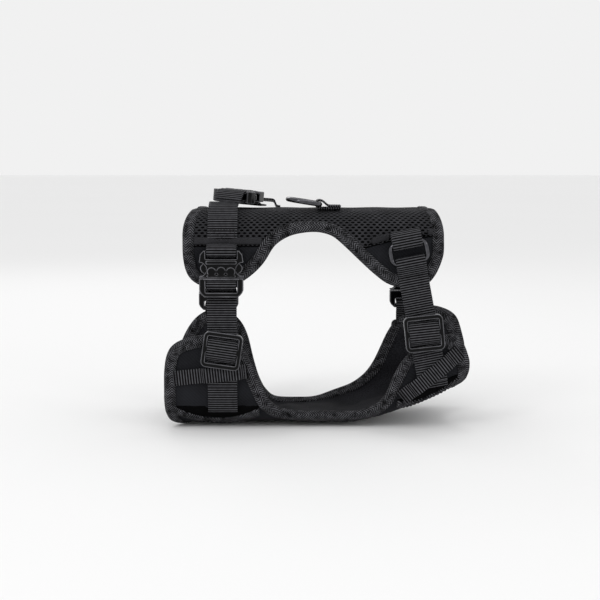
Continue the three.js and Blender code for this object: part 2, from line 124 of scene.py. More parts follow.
def colour_and_bump(tree, surface, factor, dark, light, height, strength, distance):
    """Mixes two hex colours by a factor and raises the surface by a height, whose full depth is in metres."""
    tone = add(tree, "ShaderNodeMix", {"Factor_Float": factor, "A_Color": srgb(dark), "B_Color": srgb(light)},
               data_type="RGBA", clamp_factor=True)
    bump = add(tree, "ShaderNodeBump", {"Height": height, "Strength": strength, "Distance": distance})
    mixed = next(output for output in tone.outputs if output.enabled)
    tree.links.new(mixed, surface.inputs["Base Color"])
    tree.links.new(bump.outputs[0], surface.inputs["Normal"])


# ---------------------------------------------------------------- materials

# The pitch of a wave texture's stripes at scale 1. Cloth patterns are in millimetres, moulded ones in metres
WAVE_PITCH = math.pi / 10


def knitted_air_mesh():
    """Knitted polyester spacer mesh, its face net: matte round yarns, lighter where they face the light."""
    material, tree, surface = new_material(
        "knitted_polyester_net", Roughness=0.8, Specular_IOR_Level=0.07, Sheen_Weight=0.015,
        Sheen_Roughness=0.4)
    cloth = add(tree, "ShaderNodeUVMap", uv_map="cloth")
    # Yarn filaments are 0.05 mm; their strands are drawn at 0.7 mm so that they show
    strands = add(tree, "ShaderNodeTexWave", {
        "Vector": cloth, "Scale": WAVE_PITCH / 0.7, "Distortion": 3.0, "Detail": 2.0})
    # Wear in patches of 17 mm
    wear = add(tree, "ShaderNodeTexNoise", {"Vector": cloth, "Scale": 1 / 17, "Detail": 4.0})
    tone = add(tree, "ShaderNodeMath", {0: strands, 1: 0.35, 2: wear}, operation="MULTIPLY_ADD")
    colour_and_bump(tree, surface, tone, "#0b0b0c", "#38383b", strands, 0.5, 0.0002)
    return material


def spacer_ground():
    """The spacer knit's dark ground under its net: a fine black pile, darkened further with painted shade for
    the hollows under the net.
    """
    material, tree, surface = new_material(
        "knitted_spacer_ground_painted_shade", Roughness=0.95, Specular_IOR_Level=0.04, Sheen_Weight=0.0)
    cloth = add(tree, "ShaderNodeUVMap", uv_map="cloth")
    # Pile loops of 0.6 mm
    pile = add(tree, "ShaderNodeTexVoronoi", {"Vector": cloth, "Scale": 1 / 0.6}).outputs["Distance"]
    # Near-black: the pile's own black deepened by painted shade
    colour_and_bump(tree, surface, pile, "#020202", "#0a0a0b", pile, 0.6, 0.0003)
    return material


def herringbone_tape():
    """Herringbone polyester tape: woven ribs that lean one way, then the other, greyed by wear in patches."""
    material, tree, surface = new_material(
        "woven_herringbone_tape", Roughness=0.78, Specular_IOR_Level=0.05, Sheen_Weight=0.02,
        Sheen_Roughness=0.45)
    cloth = add(tree, "ShaderNodeUVMap", uv_map="cloth")
    place = add(tree, "ShaderNodeSeparateXYZ", {"Vector": cloth})
    # Ribs 1.7 mm apart, coarser than the real 1 mm so that they show, turning back every 2.9 mm of the width
    lean = add(tree, "ShaderNodeMath", {0: place.outputs["Y"], 1: 2.9}, operation="PINGPONG")
    slanted = add(tree, "ShaderNodeMath", {0: place.outputs["X"], 1: lean}, operation="ADD")
    turns = add(tree, "ShaderNodeMath", {0: slanted, 1: 2 * math.pi / 1.7}, operation="MULTIPLY")
    wave = add(tree, "ShaderNodeMath", {0: turns}, operation="SINE")
    ridge = add(tree, "ShaderNodeMath", {0: wave, 1: 0.5, 2: 0.5}, operation="MULTIPLY_ADD")
    # The warp crosses each rib as 0.55 mm grains
    grains = add(tree, "ShaderNodeTexVoronoi", {"Vector": cloth, "Scale": 1 / 0.55}).outputs["Distance"]
    # Wear in patches of 4.5 mm
    wear = add(tree, "ShaderNodeTexNoise", {"Vector": cloth, "Scale": 1 / 4.5, "Detail": 5.0})
    grainy = add(tree, "ShaderNodeMath", {0: grains, 1: -0.45, 2: ridge}, operation="MULTIPLY_ADD")
    worn = add(tree, "ShaderNodeMath", {0: wear, 1: 5.0, 2: -1.55}, operation="MULTIPLY_ADD")
    tone = add(tree, "ShaderNodeMath", {0: grainy, 1: worn}, operation="MULTIPLY")
    colour_and_bump(tree, surface, tone, "#070708", "#636367", grainy, 0.9, 0.0004)
    return material


def ribbed_webbing():
    """Woven nylon webbing: the pattern's Y counts its weft ribs, with a painted highlight on each crest and
    painted shade between.
    """
    material, tree, surface = new_material(
        "woven_nylon_webbing", Roughness=0.5, Specular_IOR_Level=0.05, Sheen_Weight=0.01,
        Sheen_Roughness=0.35)
    cloth = add(tree, "ShaderNodeUVMap", uv_map="cloth")
    place = add(tree, "ShaderNodeSeparateXYZ", {"Vector": cloth})
    turns = add(tree, "ShaderNodeMath", {0: place.outputs["Y"], 1: math.pi}, operation="MULTIPLY")
    swing = add(tree, "ShaderNodeMath", {0: turns}, operation="COSINE")
    crest = add(tree, "ShaderNodeMath", {0: swing}, operation="ABSOLUTE")
    # Warp threads 0.8 mm apart, laid over each rib
    warp_turns = add(tree, "ShaderNodeMath", {
        0: place.outputs["X"], 1: 2 * math.pi / 0.8}, operation="MULTIPLY")
    warp = add(tree, "ShaderNodeMath", {0: warp_turns}, operation="SINE")
    # Fuzz in tufts of 2.9 mm across and three ribs along
    fuzz = add(tree, "ShaderNodeTexNoise", {"Vector": cloth, "Scale": 1 / 2.9, "Detail": 5.0})
    fuzzy = add(tree, "ShaderNodeMath", {0: fuzz, 1: 0.9, 2: -0.25}, operation="MULTIPLY_ADD")
    woven = add(tree, "ShaderNodeMath", {0: warp, 1: 0.14, 2: fuzzy}, operation="MULTIPLY_ADD")
    # Painted light: each rib's crest lightened as a highlight, the grooves between darkened to black as shade
    raised = add(tree, "ShaderNodeMath", {0: crest, 1: 3.0}, operation="POWER")
    tone = add(tree, "ShaderNodeMath", {0: raised, 1: 0.75, 2: woven}, operation="MULTIPLY_ADD")
    rib_highlight_and_shade = add(tree, "ShaderNodeMath", {0: tone, 1: raised}, operation="MULTIPLY")
    colour_and_bump(tree, surface, rib_highlight_and_shade, "#010101", "#58585c", tone, 0.7, 0.0002)
    return material


def softshell_cloth():
    """Close-woven polyester softshell: smooth and faintly blue, with a diagonal weave and soft mottling."""
    material, tree, surface = new_material(
        "woven_softshell", Roughness=0.7, Specular_IOR_Level=0.08, Sheen_Weight=0.012, Sheen_Roughness=0.5)
    cloth = add(tree, "ShaderNodeUVMap", uv_map="cloth")
    # A weave 1.2 mm apart, coarser than the real 0.4 mm so that it shows
    weave = add(tree, "ShaderNodeTexWave", {
        "Vector": cloth, "Scale": WAVE_PITCH / 1.2, "Distortion": 0.8}, bands_direction="DIAGONAL")
    # Mottling of 20 mm
    mottle = add(tree, "ShaderNodeTexNoise", {"Vector": cloth, "Scale": 1 / 20, "Detail": 6.0})
    tone = add(tree, "ShaderNodeMath", {0: weave, 1: 0.22, 2: mottle}, operation="MULTIPLY_ADD")
    colour_and_bump(tree, surface, tone, "#08080a", "#222327", weave, 0.3, 0.0002)
    return material


def brushed_lining():
    """Brushed knit lining: a short nap over the knit, soft and matte, flecked with small tufts."""
    material, tree, surface = new_material(
        "brushed_knit_lining", Roughness=0.92, Specular_IOR_Level=0.05, Sheen_Weight=0.02,
        Sheen_Roughness=0.55)
    cloth = add(tree, "ShaderNodeUVMap", uv_map="cloth")
    # Tufts of 0.9 mm, in patches of 25 mm
    nap = add(tree, "ShaderNodeTexNoise", {
        "Vector": cloth, "Scale": 1 / 0.9, "Detail": 6.0, "Roughness": 0.7})
    patches = add(tree, "ShaderNodeTexNoise", {"Vector": cloth, "Scale": 1 / 25, "Detail": 4.0})
    spread = add(tree, "ShaderNodeMath", {0: nap, 1: 3.0, 2: -1.0}, operation="MULTIPLY_ADD")
    tone = add(tree, "ShaderNodeMath", {0: spread, 1: patches}, operation="MULTIPLY")
    colour_and_bump(tree, surface, tone, "#0a0a0c", "#3e3e43", nap, 0.5, 0.0003)
    return material


def moulded_acetal():
    """Injection-moulded acetal: glossy black, its convex edges painted lighter grey as highlights, with a
    faint spark-eroded grain.
    """
    material, tree, surface = new_material("moulded_acetal", IOR=1.48, Specular_IOR_Level=0.13)
    place = add(tree, "ShaderNodeTexCoord").outputs["Object"]
    # Grain of 0.5 mm, coarser than the real 0.1 mm so that it shows
    grain = add(tree, "ShaderNodeTexNoise", {"Vector": place, "Scale": 1 / (0.5 * MM), "Detail": 2.0})
    # Handling marks of 8 mm
    rubbed = add(tree, "ShaderNodeTexNoise", {"Vector": place, "Scale": 1 / (8 * MM), "Detail": 4.0})
    rough = add(tree, "ShaderNodeMapRange", {"Value": rubbed, "To Min": 0.08, "To Max": 0.2})
    tree.links.new(rough.outputs[0], surface.inputs["Roughness"])
    # A flat face reads a half, and a convex edge more
    bend = add(tree, "ShaderNodeNewGeometry").outputs["Pointiness"]
    edges = add(tree, "ShaderNodeMapRange", {"Value": bend, "From Min": 0.503, "From Max": 0.53})
    # Painted highlight: convex edges lightened towards grey, broken up where the handling marks fall
    worn = add(tree, "ShaderNodeMath", {0: edges, 1: rubbed}, operation="MULTIPLY")
    colour_and_bump(tree, surface, worn, "#020203", "#85858a", grain, 0.06, 0.0001)
    return material


def black_nickel():
    """Cast zinc, tumbled and plated in black nickel: a dark mirror gloss with fine rub marks."""
    material, tree, surface = new_material("plated_black_nickel", Metallic=1.0)
    place = add(tree, "ShaderNodeTexCoord").outputs["Object"]
    # Rub marks of 2.4 mm
    rubs = add(tree, "ShaderNodeTexNoise", {"Vector": place, "Scale": 1 / (2.4 * MM), "Detail": 5.0})
    rough = add(tree, "ShaderNodeMapRange", {"Value": rubs, "To Min": 0.06, "To Max": 0.16})
    tree.links.new(rough.outputs[0], surface.inputs["Roughness"])
    colour_and_bump(tree, surface, rubs, "#38383b", "#5c5c60", rubs, 0.06, 0.0002)
    return material


def bonded_thread():
    """Bonded nylon sewing thread: two twisted plies, a little lighter and shinier than the cloth."""
    material, tree, surface = new_material(
        "twisted_bonded_nylon_thread", Roughness=0.5, Specular_IOR_Level=0.2, Sheen_Weight=0.01)
    place = add(tree, "ShaderNodeTexCoord").outputs["Object"]
    # Plies 0.4 mm apart
    plies = add(tree, "ShaderNodeTexWave", {
        "Vector": place, "Scale": WAVE_PITCH / (0.4 * MM)}, bands_direction="DIAGONAL")
    colour_and_bump(tree, surface, plies, "#0e0e10", "#3a3a3d", plies, 0.3, 0.0001)
    return material


NET = knitted_air_mesh()
GROUND = spacer_ground()
TAPE = herringbone_tape()
WEBBING = ribbed_webbing()
SOFTSHELL = softshell_cloth()
LINING = brushed_lining()
ACETAL = moulded_acetal()
METAL = black_nickel()
THREAD = bonded_thread()
# The near-black ground again, laid in the pocket slots as painted shade
SLOT_SHADE = spacer_ground()

# ---------------------------------------------------------------- meshes


def object_of(name, data):
    """An object in the scene that shows the given mesh or curve."""
    piece = bpy.data.objects.new(name, data)
    bpy.context.scene.collection.objects.link(piece)
    return piece


def smooth_shaded(piece):
    piece.data.polygons.foreach_set("use_smooth", [True] * len(piece.data.polygons))
    return piece


def mesh_piece(name, points, faces, material, cloth):
    """A smooth mesh object from points in millimetres, with the pattern coordinates of each point."""
    mesh = bpy.data.meshes.new(name)
    mesh.from_pydata((np.asarray(points) * MM).tolist(), [], faces)
    mesh.validate()
    layer = mesh.uv_layers.new(name="cloth")
    corners = np.zeros(len(mesh.loops), int)
    mesh.loops.foreach_get("vertex_index", corners)
    layer.data.foreach_set("uv", np.asarray(cloth, np.float32)[corners].ravel())
    mesh.materials.append(material)
    return smooth_shaded(object_of(name, mesh))


def settle(piece, body, slot, *nodes):
    """The last step for a piece: what it moves with, and the plain solids it stands for, which it hides; its
    finish, the slot, is not used.
    """
    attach(piece, body)
    if nodes:
        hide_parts(*nodes)
    return piece


def applied(piece):
    """The piece with its modifiers baked into a plain mesh."""
    graph = bpy.context.evaluated_depsgraph_get()
    mesh = bpy.data.meshes.new_from_object(piece.evaluated_get(graph), depsgraph=graph)
    piece.modifiers.clear()
    piece.data = mesh
    return piece


def grid_faces(across, along):
    """Quads of a grid of points stored row by row, across points to a row."""
    corners = [j * across + i for j in range(along - 1) for i in range(across - 1)]
    return [(low, low + 1, low + across + 1, low + across) for low in corners]


def tube_faces(across, along, closed=False):
    """Quads of a tube of points stored ring by ring, across points to a ring; its ends join or are capped."""
    faces = []
    for j in range(along if closed else along - 1):
        here, after = j * across, (j + 1) % along * across
        for i in range(across):
            beside = (i + 1) % across
            faces.append((here + i, here + beside, after + beside, after + i))
    if not closed:
        faces.append(tuple(range(across)))
        faces.append(tuple((along - 1) * across + i for i in reversed(range(across))))
    return faces


def face_out(piece):
    shape = bmesh.new()
    shape.from_mesh(piece.data)
    bmesh.ops.recalc_face_normals(shape, faces=shape.faces)
    shape.to_mesh(piece.data)
    shape.free()
    return piece


# ---------------------------------------------------------------- the panels' surfaces


def smooth_line(points):
    """A smooth function through [x, z] points that never overshoots them."""
    x, z = np.array(points, float).T
    slope = np.diff(z) / np.diff(x)
    tangent = np.zeros(len(x))
    for i in range(1, len(x) - 1):
        if slope[i - 1] * slope[i] > 0:
            tangent[i] = 2 * slope[i - 1] * slope[i] / (slope[i - 1] + slope[i])
    tangent[0] = slope[0]
    tangent[-1] = slope[-1]

    def value(at):
        at = np.clip(np.asarray(at, float), x[0], x[-1])
        i = np.clip(np.searchsorted(x, at, side="right") - 1, 0, len(x) - 2)
        step = x[i + 1] - x[i]
        t = (at - x[i]) / step
        return (
            (1 + 2 * t) * (1 - t) ** 2 * z[i]
            + t * (1 - t) ** 2 * step * tangent[i]
            + t * t * (3 - 2 * t) * z[i + 1]
            + t * t * (t - 1) * step * tangent[i + 1]
        )

    return value


def arc(centre, radii, start, end):
    """Points on an elliptical arc between two angles in degrees."""
    angles = np.radians(np.linspace(start, end, 24))
    return [(centre[0] + radii[0] * math.cos(a), centre[1] + radii[1] * math.sin(a)) for a in angles]


class Panel:
    """A sewn panel: a flat pattern in x and s, laid along a Y-Z profile of which s is the length."""

    def __init__(self, line, span, front, rear, front_first, widen, lift, seed):
        self.line = np.array(line, float)
        self.s = np.concatenate([[0], np.cumsum(np.linalg.norm(np.diff(self.line, axis=0), axis=1))])
        self.span = span
        self.front = smooth_line(front)
        self.rear = smooth_line(rear)
        self.front_first = front_first
        self.widen = widen
        self.lift = lift
        self.seed = seed

    def reach(self, z, second):
        """The pattern length at which a height is reached, on the profile's first or second half."""
        half = self.s[-1] / 2
        chosen = self.s >= half if second else self.s <= half
        heights = self.line[chosen, 1]
        lengths = self.s[chosen]
        order = np.argsort(heights, kind="stable")
        return np.interp(z, heights[order], lengths[order])

    def start(self, x):
        first = self.front if self.front_first else self.rear
        return self.reach(first(x), False)

    def end(self, x):
        second = self.rear if self.front_first else self.front
        return self.reach(second(x), True)

    def sag(self, x, s):
        """Slow hollows in the cloth, always inward, so that what lies on the panel stays clear."""
        wide = np.sin(x / 11.0 + self.seed) * np.cos(s / 15.0 + 2 * self.seed)
        fine = 0.5 * np.sin(x / 5.5 - s / 8.0 + 3 * self.seed)
        return -SAG_DEPTH * (1 + (wide + fine) / 1.5)

    def place(self, x, s, depth):
        """Points in millimetres of pattern points at a depth outside the panel's outer face."""
        x, s, depth = np.broadcast_arrays(*(np.asarray(given, float) for given in (x, s, depth)))
        step = 1.5
        (y, before_y, after_y), (z, before_z, after_z) = (
            [np.interp(at, self.s, self.line[:, k]) for at in (s, s - step, s + step)] for k in (0, 1))
        dy, dz = after_y - before_y, after_z - before_z
        out = (depth + self.sag(x, s)) / np.hypot(dy, dz)
        y = y - dz * out
        z = z + dy * out
        across = self.widen(x, np.clip(y, -FACE_Y, FACE_Y))
        return np.stack([across, y, z + self.lift(x)], axis=-1)

    def edge_loop(self, spacing=1.0, softness=3.2):
        """The panel's rounded edge as a closed loop of pattern points, running from x towards s."""
        x = np.linspace(*self.span, 500)
        low = np.stack([x, self.start(x)], 1)
        high = np.stack([x, self.end(x)], 1)[::-1]
        ring = resampled(np.concatenate([low, high]), spacing, closed=True)
        reach = int(4 * softness / spacing)
        weight = np.exp(-0.5 * (np.arange(-reach, reach + 1) * spacing / softness) ** 2)
        weight = weight / weight.sum()
        padded_ring = np.concatenate([ring[-reach:], ring, ring[:reach]])
        return np.stack([np.convolve(padded_ring[:, k], weight, "valid") for k in (0, 1)], 1)


def resampled(points, spacing, closed=False):
    """Points moved to an even spacing along the line they make."""
    points = np.asarray(points, float)
    if closed:
        points = np.concatenate([points, points[:1]])
    length = np.concatenate([[0], np.cumsum(np.linalg.norm(np.diff(points, axis=0), axis=1))])
    count = max(int(round(length[-1] / spacing)), 2)
    at = np.linspace(0, length[-1], count + 1)
    if closed:
        at = at[:-1]
    return np.stack([np.interp(at, length, points[:, k]) for k in range(points.shape[1])], 1)


def inward(loop):
    """Unit vectors into a counter-clockwise closed loop of pattern points."""
    tangent = np.roll(loop, -2, axis=0) - np.roll(loop, 2, axis=0)
    tangent = tangent / np.linalg.norm(tangent, axis=1, keepdims=True)
    return np.stack([-tangent[:, 1], tangent[:, 0]], 1)


def chest_lift(x):
    """The chest panel's right side curls up."""
    return 26 * (np.clip(x - 25, 0, None) / 75) ** 1.5


def back_x(x, y):
    """The back panel narrows a little along its spine."""
    return x * (1 - 0.08 * (1 - (y / FACE_Y) ** 2))


def chest_x(x, y):
    """The chest panel narrows underneath, and its right side spreads towards the rear."""
    spread = np.where(x > 0, 0.035 * (1 + y / FACE_Y), 0)
    return x * (1 - 0.16 * (1 - (y / FACE_Y) ** 2) ** 2 + spread)


BACK_FRONT = [
    (-88, 116), (-86, 105), (-81, 98), (-72, 95), (-55, 96), (-45, 101.5), (-35, 111), (-27, 123.5),
    (-12, 131), (0, 132.5), (10, 130), (20, 122), (30, 112.5), (40, 103.5), (50, 96.5), (62, 94.5),
    (73, 96), (80, 103.5), (85, 116)]
BACK_REAR = [
    (-88, 108), (-84, 95), (-76, 90), (-58, 90), (-48, 96), (-40, 104), (-30, 118), (-14, 127), (0, 128.5),
    (14, 126), (26, 116), (38, 104), (48, 95), (58, 90), (72, 90), (81, 96), (85, 108)]
CHEST_FRONT = [
    (-101, 38), (-99.5, 48), (-96, 55), (-86, 60), (-75, 62), (-62, 61.5), (-52, 56.5), (-44, 45), (-37, 30),
    (-30, 16), (-20, 9), (0, 7), (25, 7), (40, 9), (47, 17), (53, 30), (60, 39), (72, 44), (84, 44),
    (93, 39.5), (99, 30), (103, 16)]
CHEST_REAR = [
    (-101, 34), (-97, 46), (-91, 58), (-84, 66), (-75, 70), (-62, 68), (-54, 61.5), (-49, 51), (-45.5, 36),
    (-41.5, 22), (-36.5, 11), (-29, 4.5), (-5, 4), (13, 9.5), (25, 14.5), (35, 21.5), (41, 29), (45.5, 38),
    (51.5, 50), (59, 57), (70, 58.5), (80, 56.5), (88, 51), (97, 40.5), (101, 26), (103, 16)]


def build_surfaces():
    across, height = 22.0, 17.0
    flat = FACE_Y - across
    bend = BACK_TOP_Z - height
    back_line = [(-FACE_Y, BACK_BASE_Z)] + arc((-flat, bend), (across, height), 180, 90)
    back_line += arc((flat, bend), (across, height), 90, 0) + [(FACE_Y, BACK_BASE_Z)]
    chest_line = [(FACE_Y, CHEST_TOP_Z)] + arc((flat, across), (across, across), 0, -90)
    chest_line += arc((-flat, across), (across, across), -90, -180) + [(-FACE_Y, CHEST_TOP_Z)]
    back = Panel(
        resampled(back_line, 0.5), BACK_SPAN, BACK_FRONT, BACK_REAR, True, back_x, lambda x: 0 * x, 0.7)
    chest = Panel(
        resampled(chest_line, 0.5), CHEST_SPAN, CHEST_FRONT, CHEST_REAR, False, chest_x, chest_lift, 2.1)
    return back, chest


BACK, CHEST = build_surfaces()

# ---------------------------------------------------------------- padded cloth


def closed_slab(name, panel, x, s, outer, inner, material):
    """A closed slab of cloth over a grid of pattern points, between two depths. Returns it and its rim."""
    along, across = s.shape
    top = panel.place(x, s, outer).reshape(-1, 3)
    under = panel.place(x, s, inner).reshape(-1, 3)
    count = across * along
    faces = grid_faces(across, along)
    faces += [tuple(i + count for i in reversed(face)) for face in faces]
    last_row, last_column = (along - 1) * across, across - 1
    rim = list(range(across)) + [j * across + last_column for j in range(1, along)]
    rim += [last_row + i for i in reversed(range(last_column))]
    rim += [j * across for j in reversed(range(1, along - 1))]
    for here, after in zip(rim, rim[1:] + rim[:1]):
        faces.append((here + count, after + count, after, here))
    cloth = np.stack([np.broadcast_to(x, s.shape), s], -1).reshape(-1, 2)
    piece = mesh_piece(name, np.concatenate([top, under]), faces, material, np.concatenate([cloth, cloth]))
    return piece, rim + [i + count for i in rim]


def padded_slab(name, panel, columns, edges, depths, material, cap, slack, slot, node, spacing=2.2):
    """A padded piece between two pattern edges and two depths, its rim sewn down and its middle full."""
    x = np.asarray(columns, float)
    low, high = edges[0](x), edges[1](x)
    rows = max(int(np.max(high - low) / spacing), 4)
    s = low + (high - low) * np.linspace(0, 1, rows + 1)[:, None]
    slab, rim = closed_slab(name, panel, x, s, *depths, material)
    slab.vertex_groups.new(name="seams").add(rim, 1.0, "REPLACE")
    puff(slab, cap, slack)
    settle(slab, "vest", slot, node)


PRESSURE = 3.0
SIMULATED_FRAMES = 16


def puff(piece, cap, slack):
    """Fills a closed slab with pressure, its seams held, and keeps every point within cap millimetres."""
    before = np.zeros(len(piece.data.vertices) * 3)
    piece.data.vertices.foreach_get("co", before)
    cloth = piece.modifiers.new("cloth", "CLOTH")
    cloth.settings.quality = 4
    cloth.settings.mass = 0.3
    cloth.settings.tension_stiffness = 12
    cloth.settings.compression_stiffness = 8
    cloth.settings.bending_stiffness = 0.05
    cloth.settings.use_pressure = True
    cloth.settings.uniform_pressure_force = PRESSURE
    cloth.settings.shrink_min = -slack
    cloth.settings.vertex_group_mass = "seams"
    cloth.settings.effector_weights.gravity = 0
    cloth.point_cache.frame_start = 1
    cloth.point_cache.frame_end = SIMULATED_FRAMES
    for number in range(1, SIMULATED_FRAMES + 1):
        bpy.context.scene.frame_set(number)
    graph = bpy.context.evaluated_depsgraph_get()
    after = np.zeros_like(before)
    piece.evaluated_get(graph).data.vertices.foreach_get("co", after)
    piece.modifiers.clear()
    bpy.context.scene.frame_set(1)
    move = (after - before).reshape(-1, 3)
    size = np.linalg.norm(move, axis=1, keepdims=True)
    limit = cap * MM
    move = move * np.where(size > 1e-9, limit * np.tanh(size / limit) / np.maximum(size, 1e-9), 0)
    piece.data.vertices.foreach_set("co", (before.reshape(-1, 3) + move).ravel())
    piece.data.update()


def end_crowded(low, high):
    """Pattern columns that crowd towards both ends, where the panel's corners turn."""
    count = int((high - low) / 2.2)
    t = np.linspace(0, 1, count + 1)
    return low + (high - low) * (t - 0.09 * np.sin(2 * math.pi * t))


def trimmed(edge, amount):
    """An edge moved along the pattern, further where the edge is steep."""
    def moved(x):
        slope = (edge(x + 1.0) - edge(x - 1.0)) / 2.0
        return edge(x) + amount * np.minimum(np.hypot(1, slope), 2.5)
    return moved


LEFT_SEAM = smooth_line([(-95, 121), (-60, 121), (-25, 121)])
RIGHT_SEAM = smooth_line([(30, 119), (52, 124.7), (78, 127.5), (92, 128.5)])


def seam_length(x):
    """Where the air mesh stops at the front: at the wing seams, or at the neck's edge between them."""
    left = BACK.reach(LEFT_SEAM(x), False)
    right = BACK.reach(RIGHT_SEAM(x), False)
    return np.where(x < -25, left, np.where(x > 30, right, 0))


def build_padding():
    margin = 3.0
    shell_depths, lining_depths = (-0.35, -SHELL), (-SHELL - 0.35, -LAMINATE + 0.3)
    columns = end_crowded(BACK_SPAN[0] + margin, BACK_SPAN[1] - margin)
    start, end = trimmed(BACK.start, margin), trimmed(BACK.end, -margin)
    padded_slab(
        "back_panel_ground", BACK, columns, (lambda x: np.maximum(start(x), seam_length(x)), end),
        (-0.7, -SHELL), GROUND, 0.6, 0.02, "air_mesh", "back_panel_air_mesh")
    for side, seam, span in (("left", LEFT_SEAM, (BACK_SPAN[0] + margin, -24.0)),
                             ("right", RIGHT_SEAM, (29.0, BACK_SPAN[1] - margin))):
        x = np.arange(span[0], span[1], 1.6)
        kept = x[BACK.reach(seam(x), False) > start(x) + 0.4]
        padded_slab(
            f"{side}_wing_softshell", BACK, kept,
            (start, lambda at, seam=seam: BACK.reach(seam(at), False) + 0.4), shell_depths, SOFTSHELL,
            0.35, 0.03, "softshell", f"{side}_wing_panel", 1.8)
    padded_slab(
        "back_panel_inside", BACK, columns, (start, end), lining_depths, LINING, 0.7, 0.05, "lining",
        "back_panel_lining")
    columns = end_crowded(CHEST_SPAN[0] + margin, CHEST_SPAN[1] - margin)
    edges = trimmed(CHEST.start, margin), trimmed(CHEST.end, -margin)
    padded_slab(
        "chest_panel_softshell", CHEST, columns, edges, shell_depths, SOFTSHELL, 0.35, 0.03, "softshell",
        "chest_panel_shell")
    padded_slab(
        "chest_panel_inside", CHEST, columns, edges, lining_depths, LINING, 0.8, 0.05, "lining",
        "chest_panel_lining")


# ---------------------------------------------------------------- edge binding

# The tape's section, as distance in from the panel's edge and depth outside its outer face
TAPE_SECTION = [
    (BINDING_WIDTH, 0.05), (BINDING_WIDTH, 0.55), (BINDING_WIDTH - 0.6, 0.85), (4.5, 1.05), (2.0, 1.0),
    (0.6, 0.6), (-0.3, -0.5), (-0.6, -1.8), (-0.3, -3.1), (0.6, -4.2), (2.0, -4.6), (4.5, -4.65),
    (BINDING_WIDTH - 0.6, -4.45), (BINDING_WIDTH, -4.15), (BINDING_WIDTH, -3.7), (1.0, -3.65), (0.4, -1.8),
    (1.0, 0.05),
]


def build_binding(panel, name, node):
    loop = panel.edge_loop()
    into = inward(loop)
    count = len(loop)
    wander = 0.12 * np.sin(np.arange(count) * 2 * math.pi * 23 / count)
    rings, cloth = [], []
    travelled = 0.0
    for k, (distance, depth) in enumerate(TAPE_SECTION):
        if k:
            travelled += math.dist(TAPE_SECTION[k], TAPE_SECTION[k - 1])
        pattern = loop + into * distance
        rings.append(panel.place(pattern[:, 0], pattern[:, 1], depth + wander * (1 if depth > -1.8 else -1)))
        cloth.append(np.stack([np.arange(count, dtype=float), np.full(count, travelled)], 1))
    points = np.stack(rings, 1).reshape(-1, 3)
    faces = tube_faces(len(TAPE_SECTION), count, closed=True)
    piece = mesh_piece(name, points, faces, TAPE, np.stack(cloth, 1).reshape(-1, 2))
    settle(face_out(piece), "vest", "edge_binding", node)


# ---------------------------------------------------------------- stitches


def stitch_tree():
    """Geometry nodes: a short thread laid at every pitch along the lines that come in."""
    tree = bpy.data.node_groups.new("stitch_row", "GeometryNodeTree")
    tree.interface.new_socket("Lines", in_out="INPUT", socket_type="NodeSocketGeometry")
    for name, value in (("Pitch", 0.0028), ("Stitch length", 0.0019), ("Thread width", 0.0005)):
        socket = tree.interface.new_socket(name, in_out="INPUT", socket_type="NodeSocketFloat")
        socket.default_value = value
    tree.interface.new_socket("Thread", in_out="INPUT", socket_type="NodeSocketMaterial")
    tree.interface.new_socket("Stitches", in_out="OUTPUT", socket_type="NodeSocketGeometry")
    given = add(tree, "NodeGroupInput")
    curve = add(tree, "GeometryNodeMeshToCurve", {"Mesh": given.outputs["Lines"]})
    dots = add(tree, "GeometryNodeCurveToPoints", {
        "Curve": curve.outputs[0], "Length": given.outputs["Pitch"]}, mode="LENGTH")
    thread = add(tree, "GeometryNodeMeshUVSphere", {"Segments": 6, "Rings": 4, "Radius": 0.5})
    width, length = given.outputs["Thread width"], given.outputs["Stitch length"]
    size = add(tree, "ShaderNodeCombineXYZ", {"X": width, "Y": width, "Z": length})
    laid = add(tree, "GeometryNodeInstanceOnPoints", {
        "Points": dots.outputs["Points"], "Instance": thread.outputs["Mesh"],
        "Rotation": dots.outputs["Rotation"], "Scale": size.outputs[0]})
    real = add(tree, "GeometryNodeRealizeInstances", {"Geometry": laid.outputs[0]})
    finish = add(tree, "GeometryNodeSetMaterial", {
        "Geometry": real.outputs[0], "Material": given.outputs["Thread"]})
    add(tree, "NodeGroupOutput", {"Stitches": finish.outputs[0]})
    return tree


def set_inputs(modifier, values):
    """Sets a geometry nodes modifier's inputs by their sockets' identifiers."""
    for item in modifier.node_group.interface.items_tree:
        if item.item_type == "SOCKET" and item.in_out == "INPUT" and item.name in values:
            modifier[item.identifier] = values[item.name]


def line_mesh(name, lines):
    """A mesh of bare edges through lists of points in millimetres."""
    points = np.concatenate(lines) * MM
    edges, base = [], 0
    for line in lines:
        edges += [(base + i, base + i + 1) for i in range(len(line) - 1)]
        base += len(line)
    mesh = bpy.data.meshes.new(name)
    mesh.from_pydata(points.tolist(), edges, [])
    return object_of(name, mesh)


STITCHES = stitch_tree()


def sew(name, lines, slot="webbing", pitch=2.8, length=1.9, width=0.55):
    """Stitches along lines of points in millimetres, all of them on the vest."""
    piece = line_mesh(name, [np.asarray(line, float) for line in lines])
    modifier = piece.modifiers.new("stitches", "NODES")
    modifier.node_group = STITCHES
    set_inputs(modifier, {
        "Pitch": pitch * MM, "Stitch length": length * MM, "Thread width": width * MM, "Thread": THREAD})
    settle(smooth_shaded(applied(piece)), "vest", slot)


def build_panel_stitches():
    for panel, name in ((BACK, "back"), (CHEST, "chest")):
        loop = panel.edge_loop()
        into = inward(loop)
        pattern = loop + into * (BINDING_WIDTH - 1.4)
        lines = [panel.place(*pattern.T, depth) for depth in (0.95, -LAMINATE - 0.95)]
        sew(f"{name}_binding_stitches", [np.concatenate([line, line[:1]]) for line in lines], "edge_binding")
    rows = []
    for seam, span in ((LEFT_SEAM, (-82, -33)), (RIGHT_SEAM, (36, 79))):
        x = np.linspace(*span, 60)
        for rise in (1.6, 4.2):
            rows.append(BACK.place(x, BACK.reach(seam(x), False) + rise, 0.35))
    sew("wing_seam_stitches", rows, "softshell")


# ---------------------------------------------------------------- hems and pockets


